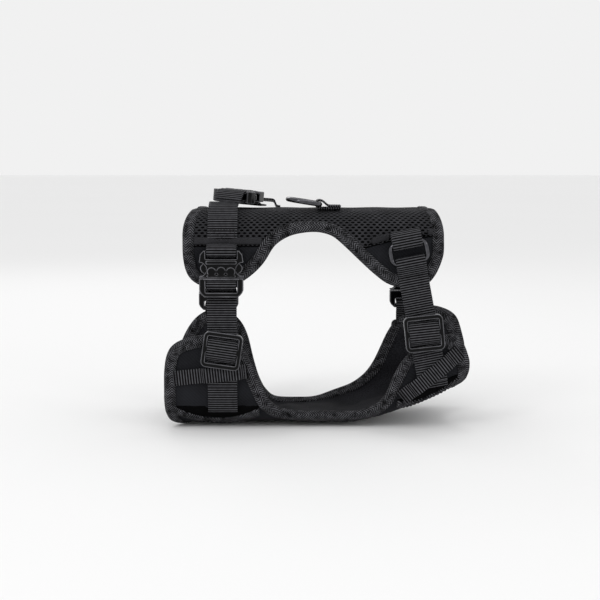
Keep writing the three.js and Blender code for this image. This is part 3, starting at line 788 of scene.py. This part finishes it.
def laid_strip(name, panel, x, s_low, s_high, inner, outer, material):
    """A strip of cloth laid on a panel between two pattern lines, thin at its edges and full between them."""
    t = np.linspace(0, 1, 7)[:, None]
    full = np.sqrt(np.sin(math.pi * np.clip(t, 0.04, 0.96)))
    s = s_low + (s_high - s_low) * t
    strip, _ = closed_slab(name, panel, x, s, inner + (outer - inner) * full, inner - 0.3, material)
    return face_out(strip)


def build_wing_hems():
    """The air mesh's folded edge over each wing's seam; on the left it also covers the top strap's end."""
    strap_end, lift, crown = (-73.6, -49.4), 1.55, 1.15
    for name, seam, span in (("left", LEFT_SEAM, (-80.5, -35.0)), ("right_inner", RIGHT_SEAM, (37.5, 49.0)),
                             ("right_outer", RIGHT_SEAM, (74.5, 78.5))):
        x = np.arange(span[0], span[1], 0.8)
        rise = np.zeros_like(x)
        if name == "left":
            rise = lift * np.clip(np.minimum(x - strap_end[0], strap_end[1] - x) / 1.8 + 0.2, 0, 1)
        low = BACK.reach(seam(x), False) + 2.1
        hem = laid_strip(f"{name}_wing_hem", BACK, x, low, low + 4.4, rise + 0.1, rise + crown, NET)
        settle(hem, "vest", "air_mesh")
        sew(f"{name}_hem_stitches", [BACK.place(x, low + 3.4, rise + crown)], "air_mesh")


def build_pockets():
    """On each front lobe, a near-black strip of painted shade where the strap's end goes into the slot, and
    the taped hem below it.
    """
    for name, span, mouth, dip in (("left", (-94.0, -37.0), 14.5, 9.0), ("right", (55.0, 98.0), 12.0, 6.5)):
        x = np.arange(span[0], span[1], 1.0)
        t = (x - span[0]) / (span[1] - span[0])
        curve = np.sin(math.pi * t) ** 0.8
        top = CHEST.reach(np.full_like(x, mouth), True)
        low = CHEST.reach(mouth - 0.8 - dip * curve, True)
        # A flat near-black strip across the slot's mouth: painted shade of the opening
        slot = laid_strip(f"{name}_pocket_slot_painted_shade", CHEST, x, low, top, -0.4, 0.25, SLOT_SHADE)
        settle(slot, "vest", "softshell")
        hem = laid_strip(f"{name}_pocket_hem", CHEST, x, low - 6.5, low + 0.3, 0.1, 1.3, TAPE)
        settle(hem, "vest", "edge_binding")
        lines = [CHEST.place(x, low - 1.3, 1.2), CHEST.place(x, low - 5.2, 1.15)]
        sew(f"{name}_pocket_stitches", lines, "edge_binding")


# ---------------------------------------------------------------- air mesh


def net_tree():
    """Geometry nodes: opens a hole in every cell of the cloth that comes in."""
    tree = bpy.data.node_groups.new("knitted_net", "GeometryNodeTree")
    tree.interface.new_socket("Cells", in_out="INPUT", socket_type="NodeSocketGeometry")
    hole = tree.interface.new_socket("Hole share", in_out="INPUT", socket_type="NodeSocketFloat")
    hole.default_value = 0.62
    tree.interface.new_socket("Yarn", in_out="INPUT", socket_type="NodeSocketMaterial")
    tree.interface.new_socket("Net", in_out="OUTPUT", socket_type="NodeSocketGeometry")
    given = add(tree, "NodeGroupInput")
    raised = add(tree, "GeometryNodeExtrudeMesh", {
        "Mesh": given.outputs["Cells"], "Offset Scale": 0.0, "Individual": True}, mode="FACES")
    opened = add(tree, "GeometryNodeScaleElements", {
        "Geometry": raised.outputs["Mesh"], "Selection": raised.outputs["Top"],
        "Scale": given.outputs["Hole share"]})
    cut = add(tree, "GeometryNodeDeleteGeometry", {
        "Geometry": opened.outputs[0], "Selection": raised.outputs["Top"]}, domain="FACE")
    joined = add(tree, "GeometryNodeMergeByDistance", {"Geometry": cut.outputs[0], "Distance": 0.00003})
    real = add(tree, "GeometryNodeRealizeInstances", {"Geometry": joined.outputs[0]})
    finish = add(tree, "GeometryNodeSetMaterial", {
        "Geometry": real.outputs[0], "Material": given.outputs["Yarn"]})
    add(tree, "NodeGroupOutput", {"Net": finish.outputs[0]})
    return tree


def build_air_net():
    """Elongated six-sided cells over the air mesh, in rows that step by half a cell."""
    wide, tall, row_step = 4.0, 3.6, 1.944
    corners = [(-0.5, -0.18), (0.0, -0.36), (0.5, -0.18), (0.5, 0.18), (0.0, 0.36), (-0.5, 0.18)]
    margin, ends = 5.0, 20.0
    start, end = trimmed(BACK.start, margin), trimmed(BACK.end, -margin)
    numbers, faces = {}, []
    for row, s in enumerate(np.arange(ends, BACK.s[-1] - ends, row_step)):
        first = BACK_SPAN[0] + margin + (wide / 2 if row % 2 else 0)
        x = np.arange(first, BACK_SPAN[1] - margin, wide)
        whole = (s > np.maximum(start(x), seam_length(x) + 1.0) + 1.0) & (s < end(x) - 1.0)
        for middle in x[whole]:
            cell = [(round(middle + i * wide, 3), round(s + j * tall, 3)) for i, j in corners]
            faces.append(tuple(numbers.setdefault(corner, len(numbers)) for corner in cell))
    pattern = np.array(list(numbers))
    net = mesh_piece("back_panel_air_net", BACK.place(*pattern.T, 0.1), faces, NET, pattern)
    modifier = net.modifiers.new("net", "NODES")
    modifier.node_group = net_tree()
    set_inputs(modifier, {"Hole share": 0.6, "Yarn": NET})
    thick = net.modifiers.new("yarn", "SOLIDIFY")
    thick.thickness = 0.5 * MM
    thick.offset = 0.0
    settle(face_out(smooth_shaded(applied(net))), "vest", "air_mesh")


# ---------------------------------------------------------------- webbing


def rounded_path(points, spacing):
    """A bent line with its corners rounded, at an even spacing."""
    line = resampled(points, 0.4)
    for _ in range(14):
        inner = 0.25 * line[:-2] + 0.5 * line[1:-1] + 0.25 * line[2:]
        line = np.concatenate([line[:1], inner, line[-1:]])
    return resampled(line, spacing)


# The webbing's section, as shares of its half width and half thickness
WEB_SECTION = [
    (-1, 0.55), (-0.93, 0.9), (-0.8, 1), (-0.4, 1), (0, 1), (0.4, 1), (0.8, 1), (0.93, 0.9), (1, 0.55)]
WEB_SECTION += [(across, -side) for across, side in reversed(WEB_SECTION)]


def webbing(name, matrix, points, width=WEB_WIDTH, thick=WEB_THICK, pitch=RIB_PITCH, along_x=False):
    """Ribbed webbing along a bent line in a local frame, of [depth, z] points, or [x, depth] when along_x."""
    step = pitch / 6
    path = rounded_path(points, step)
    tangent = np.gradient(path, axis=0)
    tangent = tangent / np.linalg.norm(tangent, axis=1, keepdims=True)
    normal = np.stack([-tangent[:, 1], tangent[:, 0]], 1)
    ribs = np.arange(len(path)) * step / pitch
    swell = np.abs(np.cos(math.pi * ribs)) - 0.6
    local, cloth = [], []
    for across, side in WEB_SECTION:
        bent = path + normal * (side * (thick / 2 + RIB_RISE * swell * (abs(side) > 0.95)))[:, None]
        spread = across * (width / 2 + 0.12 * swell * (abs(across) > 0.95))
        if along_x:
            local.append(np.stack([bent[:, 0], -bent[:, 1], spread], 1))
        else:
            local.append(np.stack([spread, -bent[:, 0], bent[:, 1]], 1))
        cloth.append(np.stack([np.full(len(path), across * width / 2), ribs], 1))
    turned = np.stack(local, 1).reshape(-1, 3) @ np.array(matrix.to_3x3()).T + np.array(matrix.translation)
    faces = tube_faces(len(WEB_SECTION), len(path))
    return face_out(mesh_piece(name, turned, faces, WEBBING, np.stack(cloth, 1).reshape(-1, 2)))


# ---------------------------------------------------------------- moulded parts


def prism(outline, near, far, matrix):
    """A closed prism in a local frame: an x-z outline between two depths."""
    shape = bmesh.new()
    rings = []
    for depth in (near, far):
        places = [matrix @ Vector((x, -depth, z)) for x, z in outline]
        rings.append([shape.verts.new(place * MM) for place in places])
    shape.faces.new(rings[0])
    shape.faces.new(rings[1][::-1])
    for i in range(len(outline)):
        after = (i + 1) % len(outline)
        shape.faces.new((rings[0][i], rings[0][after], rings[1][after], rings[1][i]))
    bmesh.ops.recalc_face_normals(shape, faces=shape.faces)
    return shape


def rectangle(left, right, low, high, radius=0.0, steps=4):
    """An x-z outline with rounded corners."""
    if radius <= 0:
        return [(left, low), (right, low), (right, high), (left, high)]
    points = []
    for cx, cz, turn in ((right - radius, low + radius, -90), (right - radius, high - radius, 0),
                         (left + radius, high - radius, 90), (left + radius, low + radius, 180)):
        for k in range(steps + 1):
            angle = math.radians(turn + 90 * k / steps)
            points.append((cx + radius * math.cos(angle), cz + radius * math.sin(angle)))
    return points


def disc(x, z, radius):
    angles = [2 * math.pi * k / 20 for k in range(20)]
    return [(x + radius * math.cos(a), z + radius * math.sin(a)) for a in angles]


def fused(name, prisms, matrix):
    """One object of several prisms, each an outline with its two depths."""
    mesh = bpy.data.meshes.new(name)
    whole = bmesh.new()
    for outline, near, far in prisms:
        part = prism(outline, near, far, matrix)
        scratch = bpy.data.meshes.new("scratch")
        part.to_mesh(scratch)
        part.free()
        whole.from_mesh(scratch)
        bpy.data.meshes.remove(scratch)
    whole.to_mesh(mesh)
    whole.free()
    return object_of(name, mesh)


def melt(body, voxel):
    remesh = body.modifiers.new("melt", "REMESH")
    remesh.mode = "VOXEL"
    remesh.voxel_size = voxel * MM


def moulded(name, matrix, solids, holes, voxel=0.28):
    """Joins prisms, cuts others out one by one and melts the edges as a mould's radii do."""
    body = fused(name, solids, matrix)
    melt(body, voxel)
    if holes:
        applied(body)
        for hole in holes:
            tool = fused("tool", [hole], matrix)
            cut = body.modifiers.new("cut", "BOOLEAN")
            cut.operation = "DIFFERENCE"
            cut.object = tool
            cut.solver = "EXACT"
            applied(body)
            bpy.data.objects.remove(tool)
        melt(body, voxel)
    soften = body.modifiers.new("soften", "SMOOTH")
    soften.factor = 0.5
    soften.iterations = 5
    smooth_shaded(applied(body))
    body.data.materials.clear()
    body.data.materials.append(ACETAL)
    return body


def wire_ring(name, points, radius):
    """A closed ring of round metal wire through points in millimetres."""
    curve = bpy.data.curves.new(name, "CURVE")
    curve.dimensions = "3D"
    curve.bevel_depth = radius * MM
    curve.bevel_resolution = 4
    spline = curve.splines.new("POLY")
    spline.points.add(len(points) - 1)
    for point, place in zip(spline.points, points):
        point.co = (*(Vector(place) * MM), 1.0)
    spline.use_cyclic_u = True
    drawn = object_of(name, curve)
    graph = bpy.context.evaluated_depsgraph_get()
    mesh = bpy.data.meshes.new_from_object(drawn.evaluated_get(graph), depsgraph=graph)
    bpy.data.objects.remove(drawn)
    mesh.materials.clear()
    mesh.materials.append(METAL)
    return face_out(smooth_shaded(object_of(name, mesh)))


# ---------------------------------------------------------------- buckles and sliders

JOINTS = {joint["name"]: joint for joint in frame["joints"]}
BUCKLE_WIDTH = 29.0
SOCKET_LENGTH = 18.0
PLUG_LENGTH = 12.7
ARM_PIVOT = Vector((8.5, -4.5, 0.3))
# The slot that a strap's end passes through, in the socket, in the plug and in a slider
SLOT_HALF = 10.4
THROUGH = (-1, 10)


def frame_matrix(x_axis, z_axis, origin):
    """A local frame in millimetres: x across the strap, -y out of the panel, z up the strap."""
    z = Vector(z_axis).normalized()
    x = Vector(x_axis).normalized()
    y = z.cross(x)
    matrix = Matrix((x, y, z)).transposed().to_4x4()
    matrix.translation = Vector(origin)
    return matrix


def joint_place(name):
    return Vector(JOINTS[name]["pos_m"]) / MM


def buckle_frame(name):
    """The buckle's frame: its origin is where plug and socket meet, on the panel's face."""
    left, right = joint_place(f"{name}_left_arm_flex"), joint_place(f"{name}_right_arm_flex")
    turn = frame_matrix(right - left, -Vector(JOINTS[f"{name}_release"]["axis"]), (0, 0, 0))
    turn.translation = (left + right) / 2 - turn.to_3x3() @ Vector((0, ARM_PIVOT.y, ARM_PIVOT.z))
    return turn


def build_buckle(name, node, matrix):
    half = BUCKLE_WIDTH / 2
    petals = [(disc(x, 4.4 - 0.05 * abs(x), 3.1), 8.0, 9.3) for x in (-6.3, 0.0, 6.3)]
    lip = (rectangle(-9.6, 9.6, 0.4, 1.9, 0.6), 8.0, 9.2)
    shoulder = (rectangle(-10.2, 10.2, 9.0, 11.4, 0.9), 8.0, 9.0)
    side = [(half, 0.2), (half, 11.0), (half - 0.6, 15.4), (half - 2.8, SOCKET_LENGTH)]
    body = ([(-half, 0.2), *side, *[(-x, z) for x, z in side[:0:-1]]], 0.2, 8.4)
    mouth = (rectangle(-half - 2, half + 2, -2, 10.8), 2.1, 6.9)
    windows = [(disc(sign * (half - 0.2), 5.6, 4.6), *THROUGH) for sign in (-1, 1)]
    slot = (rectangle(-SLOT_HALF, SLOT_HALF, 12.4, 15.7), *THROUGH)
    lowered = rectangle(-SLOT_HALF, SLOT_HALF, 12.4, 19.0)
    socket = moulded(
        f"{name}_buckle_body", matrix, [body, *petals, lip, shoulder],
        [mouth, *windows, slot, (lowered, 7.2, 10), (lowered, -1, 1.8)])
    settle(socket, "vest", "buckle_plastic", f"{node}_socket")
    side = [(half, -0.2), (half, -8.4), (half - 1.0, -10.4), (half - 3.4, -PLUG_LENGTH)]
    body = ([(-x, z) for x, z in side] + side[::-1], 1.45, 8.6)
    tongue = (rectangle(-2.4, 2.4, -1.5, 9.0), 2.6, 6.4)
    lip = (rectangle(-11.6, 11.6, -1.1, -0.2), 8.2, 9.0)
    plug = moulded(
        f"{name}_buckle_plug", matrix, [body, tongue, lip],
        [(rectangle(-SLOT_HALF, SLOT_HALF, -9.7, -6.1), *THROUGH),
         (rectangle(-SLOT_HALF, SLOT_HALF, -9.7, -1.2), 7.1, 10),
         (rectangle(-SLOT_HALF, SLOT_HALF, -14, -6.2), -1, 1.9)])
    settle(plug, f"{name}_plug", "buckle_plastic", f"{node}_plug")
    hook = [(7.2, 0.4), (9.8, 0.4), (10.6, 2.2), (12.9, 3.6), (14.0, 5.6), (13.9, 7.4), (12.6, 8.8),
            (11.4, 10.2), (10.2, 9.6), (9.4, 8.0), (8.6, 3.0)]
    for side, sign in (("left", -1), ("right", 1)):
        outline = [(sign * x, z) for x, z in hook]
        arm = moulded(f"{name}_{side}_latch_arm", matrix, [(outline, 2.6, 6.4)], [], 0.25)
        settle(arm, f"{name}_{side}_arm", "buckle_plastic", f"{node}_{side}_arm")


SLIDER_TILT = {"left_neck": 8.0, "right_neck": 5.0, "left_girth": 0.0, "right_girth": 0.0}
SLIDER_NEAR = 4.95
SLIDER_THICK = 3.0


def build_slider(name, matrix):
    """The tri-glide and the hump of webbing over its middle bar."""
    low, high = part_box(f"{name}_slider")
    centre = matrix.inverted() @ ((low + high) / 2 / MM)
    place = matrix @ Matrix.Translation((0, 0, centre.z))
    place = place @ Matrix.Rotation(math.radians(SLIDER_TILT[name]), 4, "Y")
    near, far = SLIDER_NEAR, SLIDER_NEAR + SLIDER_THICK
    windows = [(rectangle(-10.3, 10.3, low, low + 7.3, 0.8), 0, 20) for low in (1.7, -9.0)]
    plate = (rectangle(-13, 13, -12, 12, 3.6, 6), near + 0.1, far - 0.1)
    body = moulded(f"{name}_tri_glide", place, [plate], windows, 0.26)
    settle(body, f"{name}_slider", "buckle_plastic", f"{name}_slider")
    crown = far + 0.3 + WEB_THICK / 2
    rise = [(near + 0.6, 7.3), (crown - 0.6, 4.6), (crown, 2.6)]
    hump = webbing(f"{name}_slider_webbing", place, rise + [(depth, -z) for depth, z in reversed(rise)])
    settle(hump, f"{name}_slider", "webbing", f"{name}_slider_loop")


def local_line(points, matrix):
    return np.array([list(matrix @ Vector(point)) for point in points])


def box_stitches(left, right, low, high, depth, matrix):
    """A sewn box with a cross in it, in a local frame."""
    corners = [(left, low), (right, low), (right, high), (left, high), (left, low)]
    lines = [corners, [(left, low), (right, high)], [(left, high), (right, low)]]
    return [local_line([(x, -depth, z) for x, z in resampled(line, 1.0)], matrix) for line in lines]


def build_keeper(name, matrix, z, tilt, ends, raised):
    """A band over the strap, sewn down at both ends; raised is how far to each side it stands up."""
    place = matrix @ Matrix.Translation((0, 0, z)) @ Matrix.Rotation(math.radians(tilt), 4, "Y")
    foot, crown = raised + 2.6, 4.05
    points = [(ends[0], 0.75), (-foot, 0.9), (-raised, crown), (raised, crown), (foot, 0.9), (ends[1], 0.75)]
    band = webbing(f"{name}_keeper", place, points, 10.0, 1.1, 1.8, along_x=True)
    settle(band, "vest", "webbing", f"{name}_keeper_band")
    rows = [[(x, -1.65, height) for height in np.linspace(-4, 4, 9)] for x in (ends[0] + 1.8, ends[1] - 1.8)]
    sew(f"{name}_keeper_stitches", [local_line(row, place) for row in rows], "webbing", 1.6, 1.3, 0.5)


# A strap's way round the plug's bar, and a tab's round the socket's, as [depth, z] in the buckle's frame
PLUG_TUCK = [(8.0, -1.8), (8.1, -3.0), (8.1, -6.6), (5.0, -7.9), (2.0, -8.2), (0.95, -9.6), (0.95, -13.5)]


TAB_LOOP = [(8.1, 18.5), (8.1, 15.0), (7.0, 14.1), (2.0, 14.1), (0.95, 15.0)]
# Each keeper's tilt in degrees and its two ends across the strap
KEEPERS = {"left_neck": (-6.0, (-33, 16.5)), "left_girth": (0.0, (-22, 22)), "right_girth": (0.0, (-22, 22))}


def build_buckled_strap(name):
    matrix = buckle_frame(name)
    mouth = matrix.translation.z

    def span(node):
        low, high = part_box(f"{name}_{node}")
        return low.z / MM - mouth, high.z / MM - mouth

    build_buckle(name, f"{name}_buckle", matrix)
    _, top = span("buckle_tab")
    tab = webbing(f"{name}_tab", matrix, [(2.2, top), (7.2, top - 1.8), *TAB_LOOP, (0.95, top)])
    settle(tab, "vest", "webbing", f"{name}_buckle_tab")
    end, _ = span("strap")
    strap = webbing(f"{name}_webbing", matrix, [*PLUG_TUCK, (2.5, -16.5), (2.5, end)])
    settle(strap, f"{name}_plug", "webbing", f"{name}_strap")
    build_slider(name, matrix)
    tilt, ends = KEEPERS[name]
    middle = sum(span("keeper_band")) / 2 + math.tan(math.radians(tilt)) * sum(ends) / 2
    build_keeper(name, matrix, middle, tilt, ends, 11.2)
    low, high = span("anchor_webbing")
    anchor = webbing(f"{name}_anchor", matrix, [(0.95, high), (0.95, low + 9), (-1.4, low)])
    settle(anchor, "vest", "webbing", f"{name}_anchor_webbing")


RING_DEPTH = 4.0
RING_BAR_Z = 6.5
# The upper tab's way round the neck ring's top bar; the strap's round its lower bar is the mirror image
RING_LOOP = [(7.05, 8.0), (7.05, 4.6), (5.6, 3.2), (2.4, 3.2), (0.95, 4.6)]


def build_right_neck():
    rock = JOINTS["right_neck_ring_rock"]
    matrix = frame_matrix(rock["axis"], JOINTS["right_neck_slider_slide"]["axis"], (0, 0, 0))
    bar = Vector((0, -RING_DEPTH, RING_BAR_Z))
    matrix.translation = joint_place("right_neck_ring_rock") - matrix.to_3x3() @ bar
    tab = webbing("right_neck_tab", matrix, [(2.2, 14.5), (6.0, 11.5), *RING_LOOP, (0.95, 14.5)])
    settle(tab, "vest", "webbing", "right_neck_ring_tab")
    outline = rectangle(-12, 12, -RING_BAR_Z, RING_BAR_Z, 4.2, 8)
    points = local_line([(x, -RING_DEPTH, z) for x, z in outline], matrix)
    settle(wire_ring("right_neck_ring_loop", points, 1.5), "right_neck_ring", "ring_metal", "right_neck_ring")
    strap = webbing("right_neck_webbing", matrix, [
        (2.95, -15), (4.2, -12.5), *[(depth, -z) for depth, z in RING_LOOP], (0.95, -15.5), (2.5, -20.5),
        (2.5, -88)])
    settle(strap, "vest", "webbing", "right_neck_strap")
    build_slider("right_neck", matrix)
    build_keeper("right_neck", matrix, -83.5, -28, (-25, 25), 14)
    anchor = webbing("right_neck_anchor", matrix, [(0.95, -76), (0.95, -84), (-0.8, -92)])
    settle(anchor, "vest", "webbing", "right_neck_anchor_webbing")


def build_top_strap():
    matrix = buckle_frame("top")
    build_buckle("top", "top_buckle", matrix)
    rear = webbing("top_rear_webbing", matrix, [*PLUG_TUCK, (-1.2, -20), (-1.2, -30)])
    settle(rear, "top_plug", "webbing", "top_strap_rear")
    # The front strap turns from the wing's own direction into the buckle's, so it is made in two stretches
    wing = frame_matrix((1, 0, 0), (0, 0, 1), (-61.5, -FACE_Y, 0))
    rise = webbing("top_front_webbing", wing, [
        (0.95, 121.5), (0.95, 131), (-2, 139.5), (-10, 147.5), (-19, 150.4)])
    settle(rise, "vest", "webbing", "top_strap_front")
    loop = webbing("top_front_loop", matrix, [(2.6, 25), (6.4, 21.5), *TAB_LOOP, (0.95, 25)])
    settle(loop, "vest", "webbing")
    sew("top_strap_box_stitches", box_stitches(-8, 8, 122.5, 133, 1.75, wing), "webbing", 1.9, 1.4, 0.5)
    # The keeper stands on the rear bend, with its feet flat on the slope there
    low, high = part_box("top_strap_keeper")
    x, y = (low.x + high.x) / 2 / MM, (low.y + high.y) / 2 / MM
    slope = math.radians(-90 - 14)
    stand = Matrix.Translation((x, y - 0.9, low.z / MM + 1.0)) @ Matrix.Rotation(slope, 4, "X")
    arch = [(-17, 1.0), (-14.2, 1.1), (-12.6, 7.9), (12.6, 5.9), (14.2, 1.1), (17, 1.0)]
    keeper = webbing("top_keeper", stand, arch, 8.0, 1.1, 2.0, along_x=True)
    settle(keeper, "vest", "webbing", "top_strap_keeper")


def build_leash_ring():
    """The D ring, its straight side on the hinge, and the tab folded over that side."""
    wire = 1.6
    half, length = 13.5 - wire, 25.0 - 2 * wire
    bow = -length + half
    line = [(0, half), (bow, half)]
    line += [(bow - half * math.sin(a), half * math.cos(a)) for a in np.linspace(0.12, math.pi - 0.12, 22)]
    line += [(bow, -half), (0, -half)]
    line = resampled(line, 1.2, closed=True)
    for _ in range(2):
        line = 0.25 * np.roll(line, 1, 0) + 0.5 * line + 0.25 * np.roll(line, -1, 0)
    origin = joint_place("leash_ring_turn")
    place = Matrix.Translation(origin) @ Matrix.Rotation(math.radians(9), 4, "Y")
    points = local_line([(x, y, 0) for x, y in line], place)
    settle(wire_ring("leash_d_ring", points, wire), "leash_ring", "ring_metal", "leash_ring")
    lie = frame_matrix((0, 1, 0), (-1, 0, 0), origin)
    tab = webbing("leash_tab", lie, [
        (-2.65, -14), (-2.65, 1.2), (-1.5, 2.6), (1.5, 2.7), (2.75, 1.2), (2.4, -1.8), (-1.2, -5.6),
        (-1.25, -14)])
    settle(tab, "vest", "webbing", "leash_ring_tab")


build_padding()
build_binding(BACK, "back_edge_tape", "back_panel_binding")
build_binding(CHEST, "chest_edge_tape", "chest_panel_binding")
build_air_net()
build_panel_stitches()
build_wing_hems()
build_pockets()
for strap_name in ("left_neck", "left_girth", "right_girth"):
    build_buckled_strap(strap_name)
build_right_neck()
build_top_strap()
build_leash_ring()

# ---------------------------------------------------------------- stage


SOFTBOXES = [
    # name, place and size in metres, and power in watts
    ("key_softbox", (-0.7, -0.9, 0.9), 0.32, 2.0),
    ("fill_softbox", (0.95, -0.8, 0.5), 0.28, 0.9),
    ("top_softbox", (0.1, 0.2, 1.3), 0.3, 1.2),
    ("rear_softbox", (-0.4, 1.1, 0.8), 0.3, 1.0),
]
FLOOR_REACH = 20.0


def build_stage():
    """A pale painted floor, white surroundings and soft lights."""
    material, tree, surface = new_material("painted_studio_floor", Roughness=0.9, Specular_IOR_Level=0.2)
    place = add(tree, "ShaderNodeTexCoord").outputs["Object"]
    drift = add(tree, "ShaderNodeTexNoise", {"Vector": place, "Scale": 1.2, "Detail": 2.0})
    colour_and_bump(tree, surface, drift, "#eeeeee", "#f0f0f0", drift, 0.02, 0.0005)
    mesh = bpy.data.meshes.new("studio_floor")
    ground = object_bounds()[0][2] - 0.0002
    corners = [(x * FLOOR_REACH, y * FLOOR_REACH, ground) for x, y in ((-1, -1), (1, -1), (1, 1), (-1, 1))]
    mesh.from_pydata(corners, [], [(0, 1, 2, 3)])
    mesh.materials.append(material)
    object_of("studio_floor", mesh)
    world = bpy.data.worlds.new("studio")
    world.use_nodes = True
    background = world.node_tree.nodes["Background"]
    background.inputs["Color"].default_value = (1, 1, 1, 1)
    background.inputs["Strength"].default_value = 0.88
    bpy.context.scene.world = world
    sky = bpy.data.lights.new("overhead_softbox", "SUN")
    sky.energy = 0.24
    sky.angle = math.radians(40)
    object_of("overhead_softbox", sky).rotation_euler = (math.radians(28), math.radians(-12), 0)
    for name, place, size, power in SOFTBOXES:
        light = bpy.data.lights.new(name, "AREA")
        light.shape = "SQUARE"
        light.size = size
        light.energy = power
        lamp = object_of(name, light)
        lamp.location = place
        lamp.rotation_euler = (Vector((0, 0, 0.08)) - Vector(place)).to_track_quat("-Z", "Y").to_euler()


def build_camera():
    elevation = math.radians(6)
    distance, width = 856.0, 398.0
    aim = Vector((-10.3, -FACE_Y, 86.2))
    camera = bpy.data.cameras.new("camera")
    camera.sensor_width = 36
    camera.lens = 36 * distance / width
    camera.clip_start = 0.01
    camera.clip_end = 50
    holder = object_of("camera", camera)
    away = Vector((0, -math.cos(elevation), math.sin(elevation)))
    holder.location = (aim + away * distance) * MM
    holder.rotation_euler = (-away).to_track_quat("-Z", "Y").to_euler()
    bpy.context.scene.camera = holder


build_stage()
build_camera()
bpy.context.scene.view_settings.view_transform = "Standard"
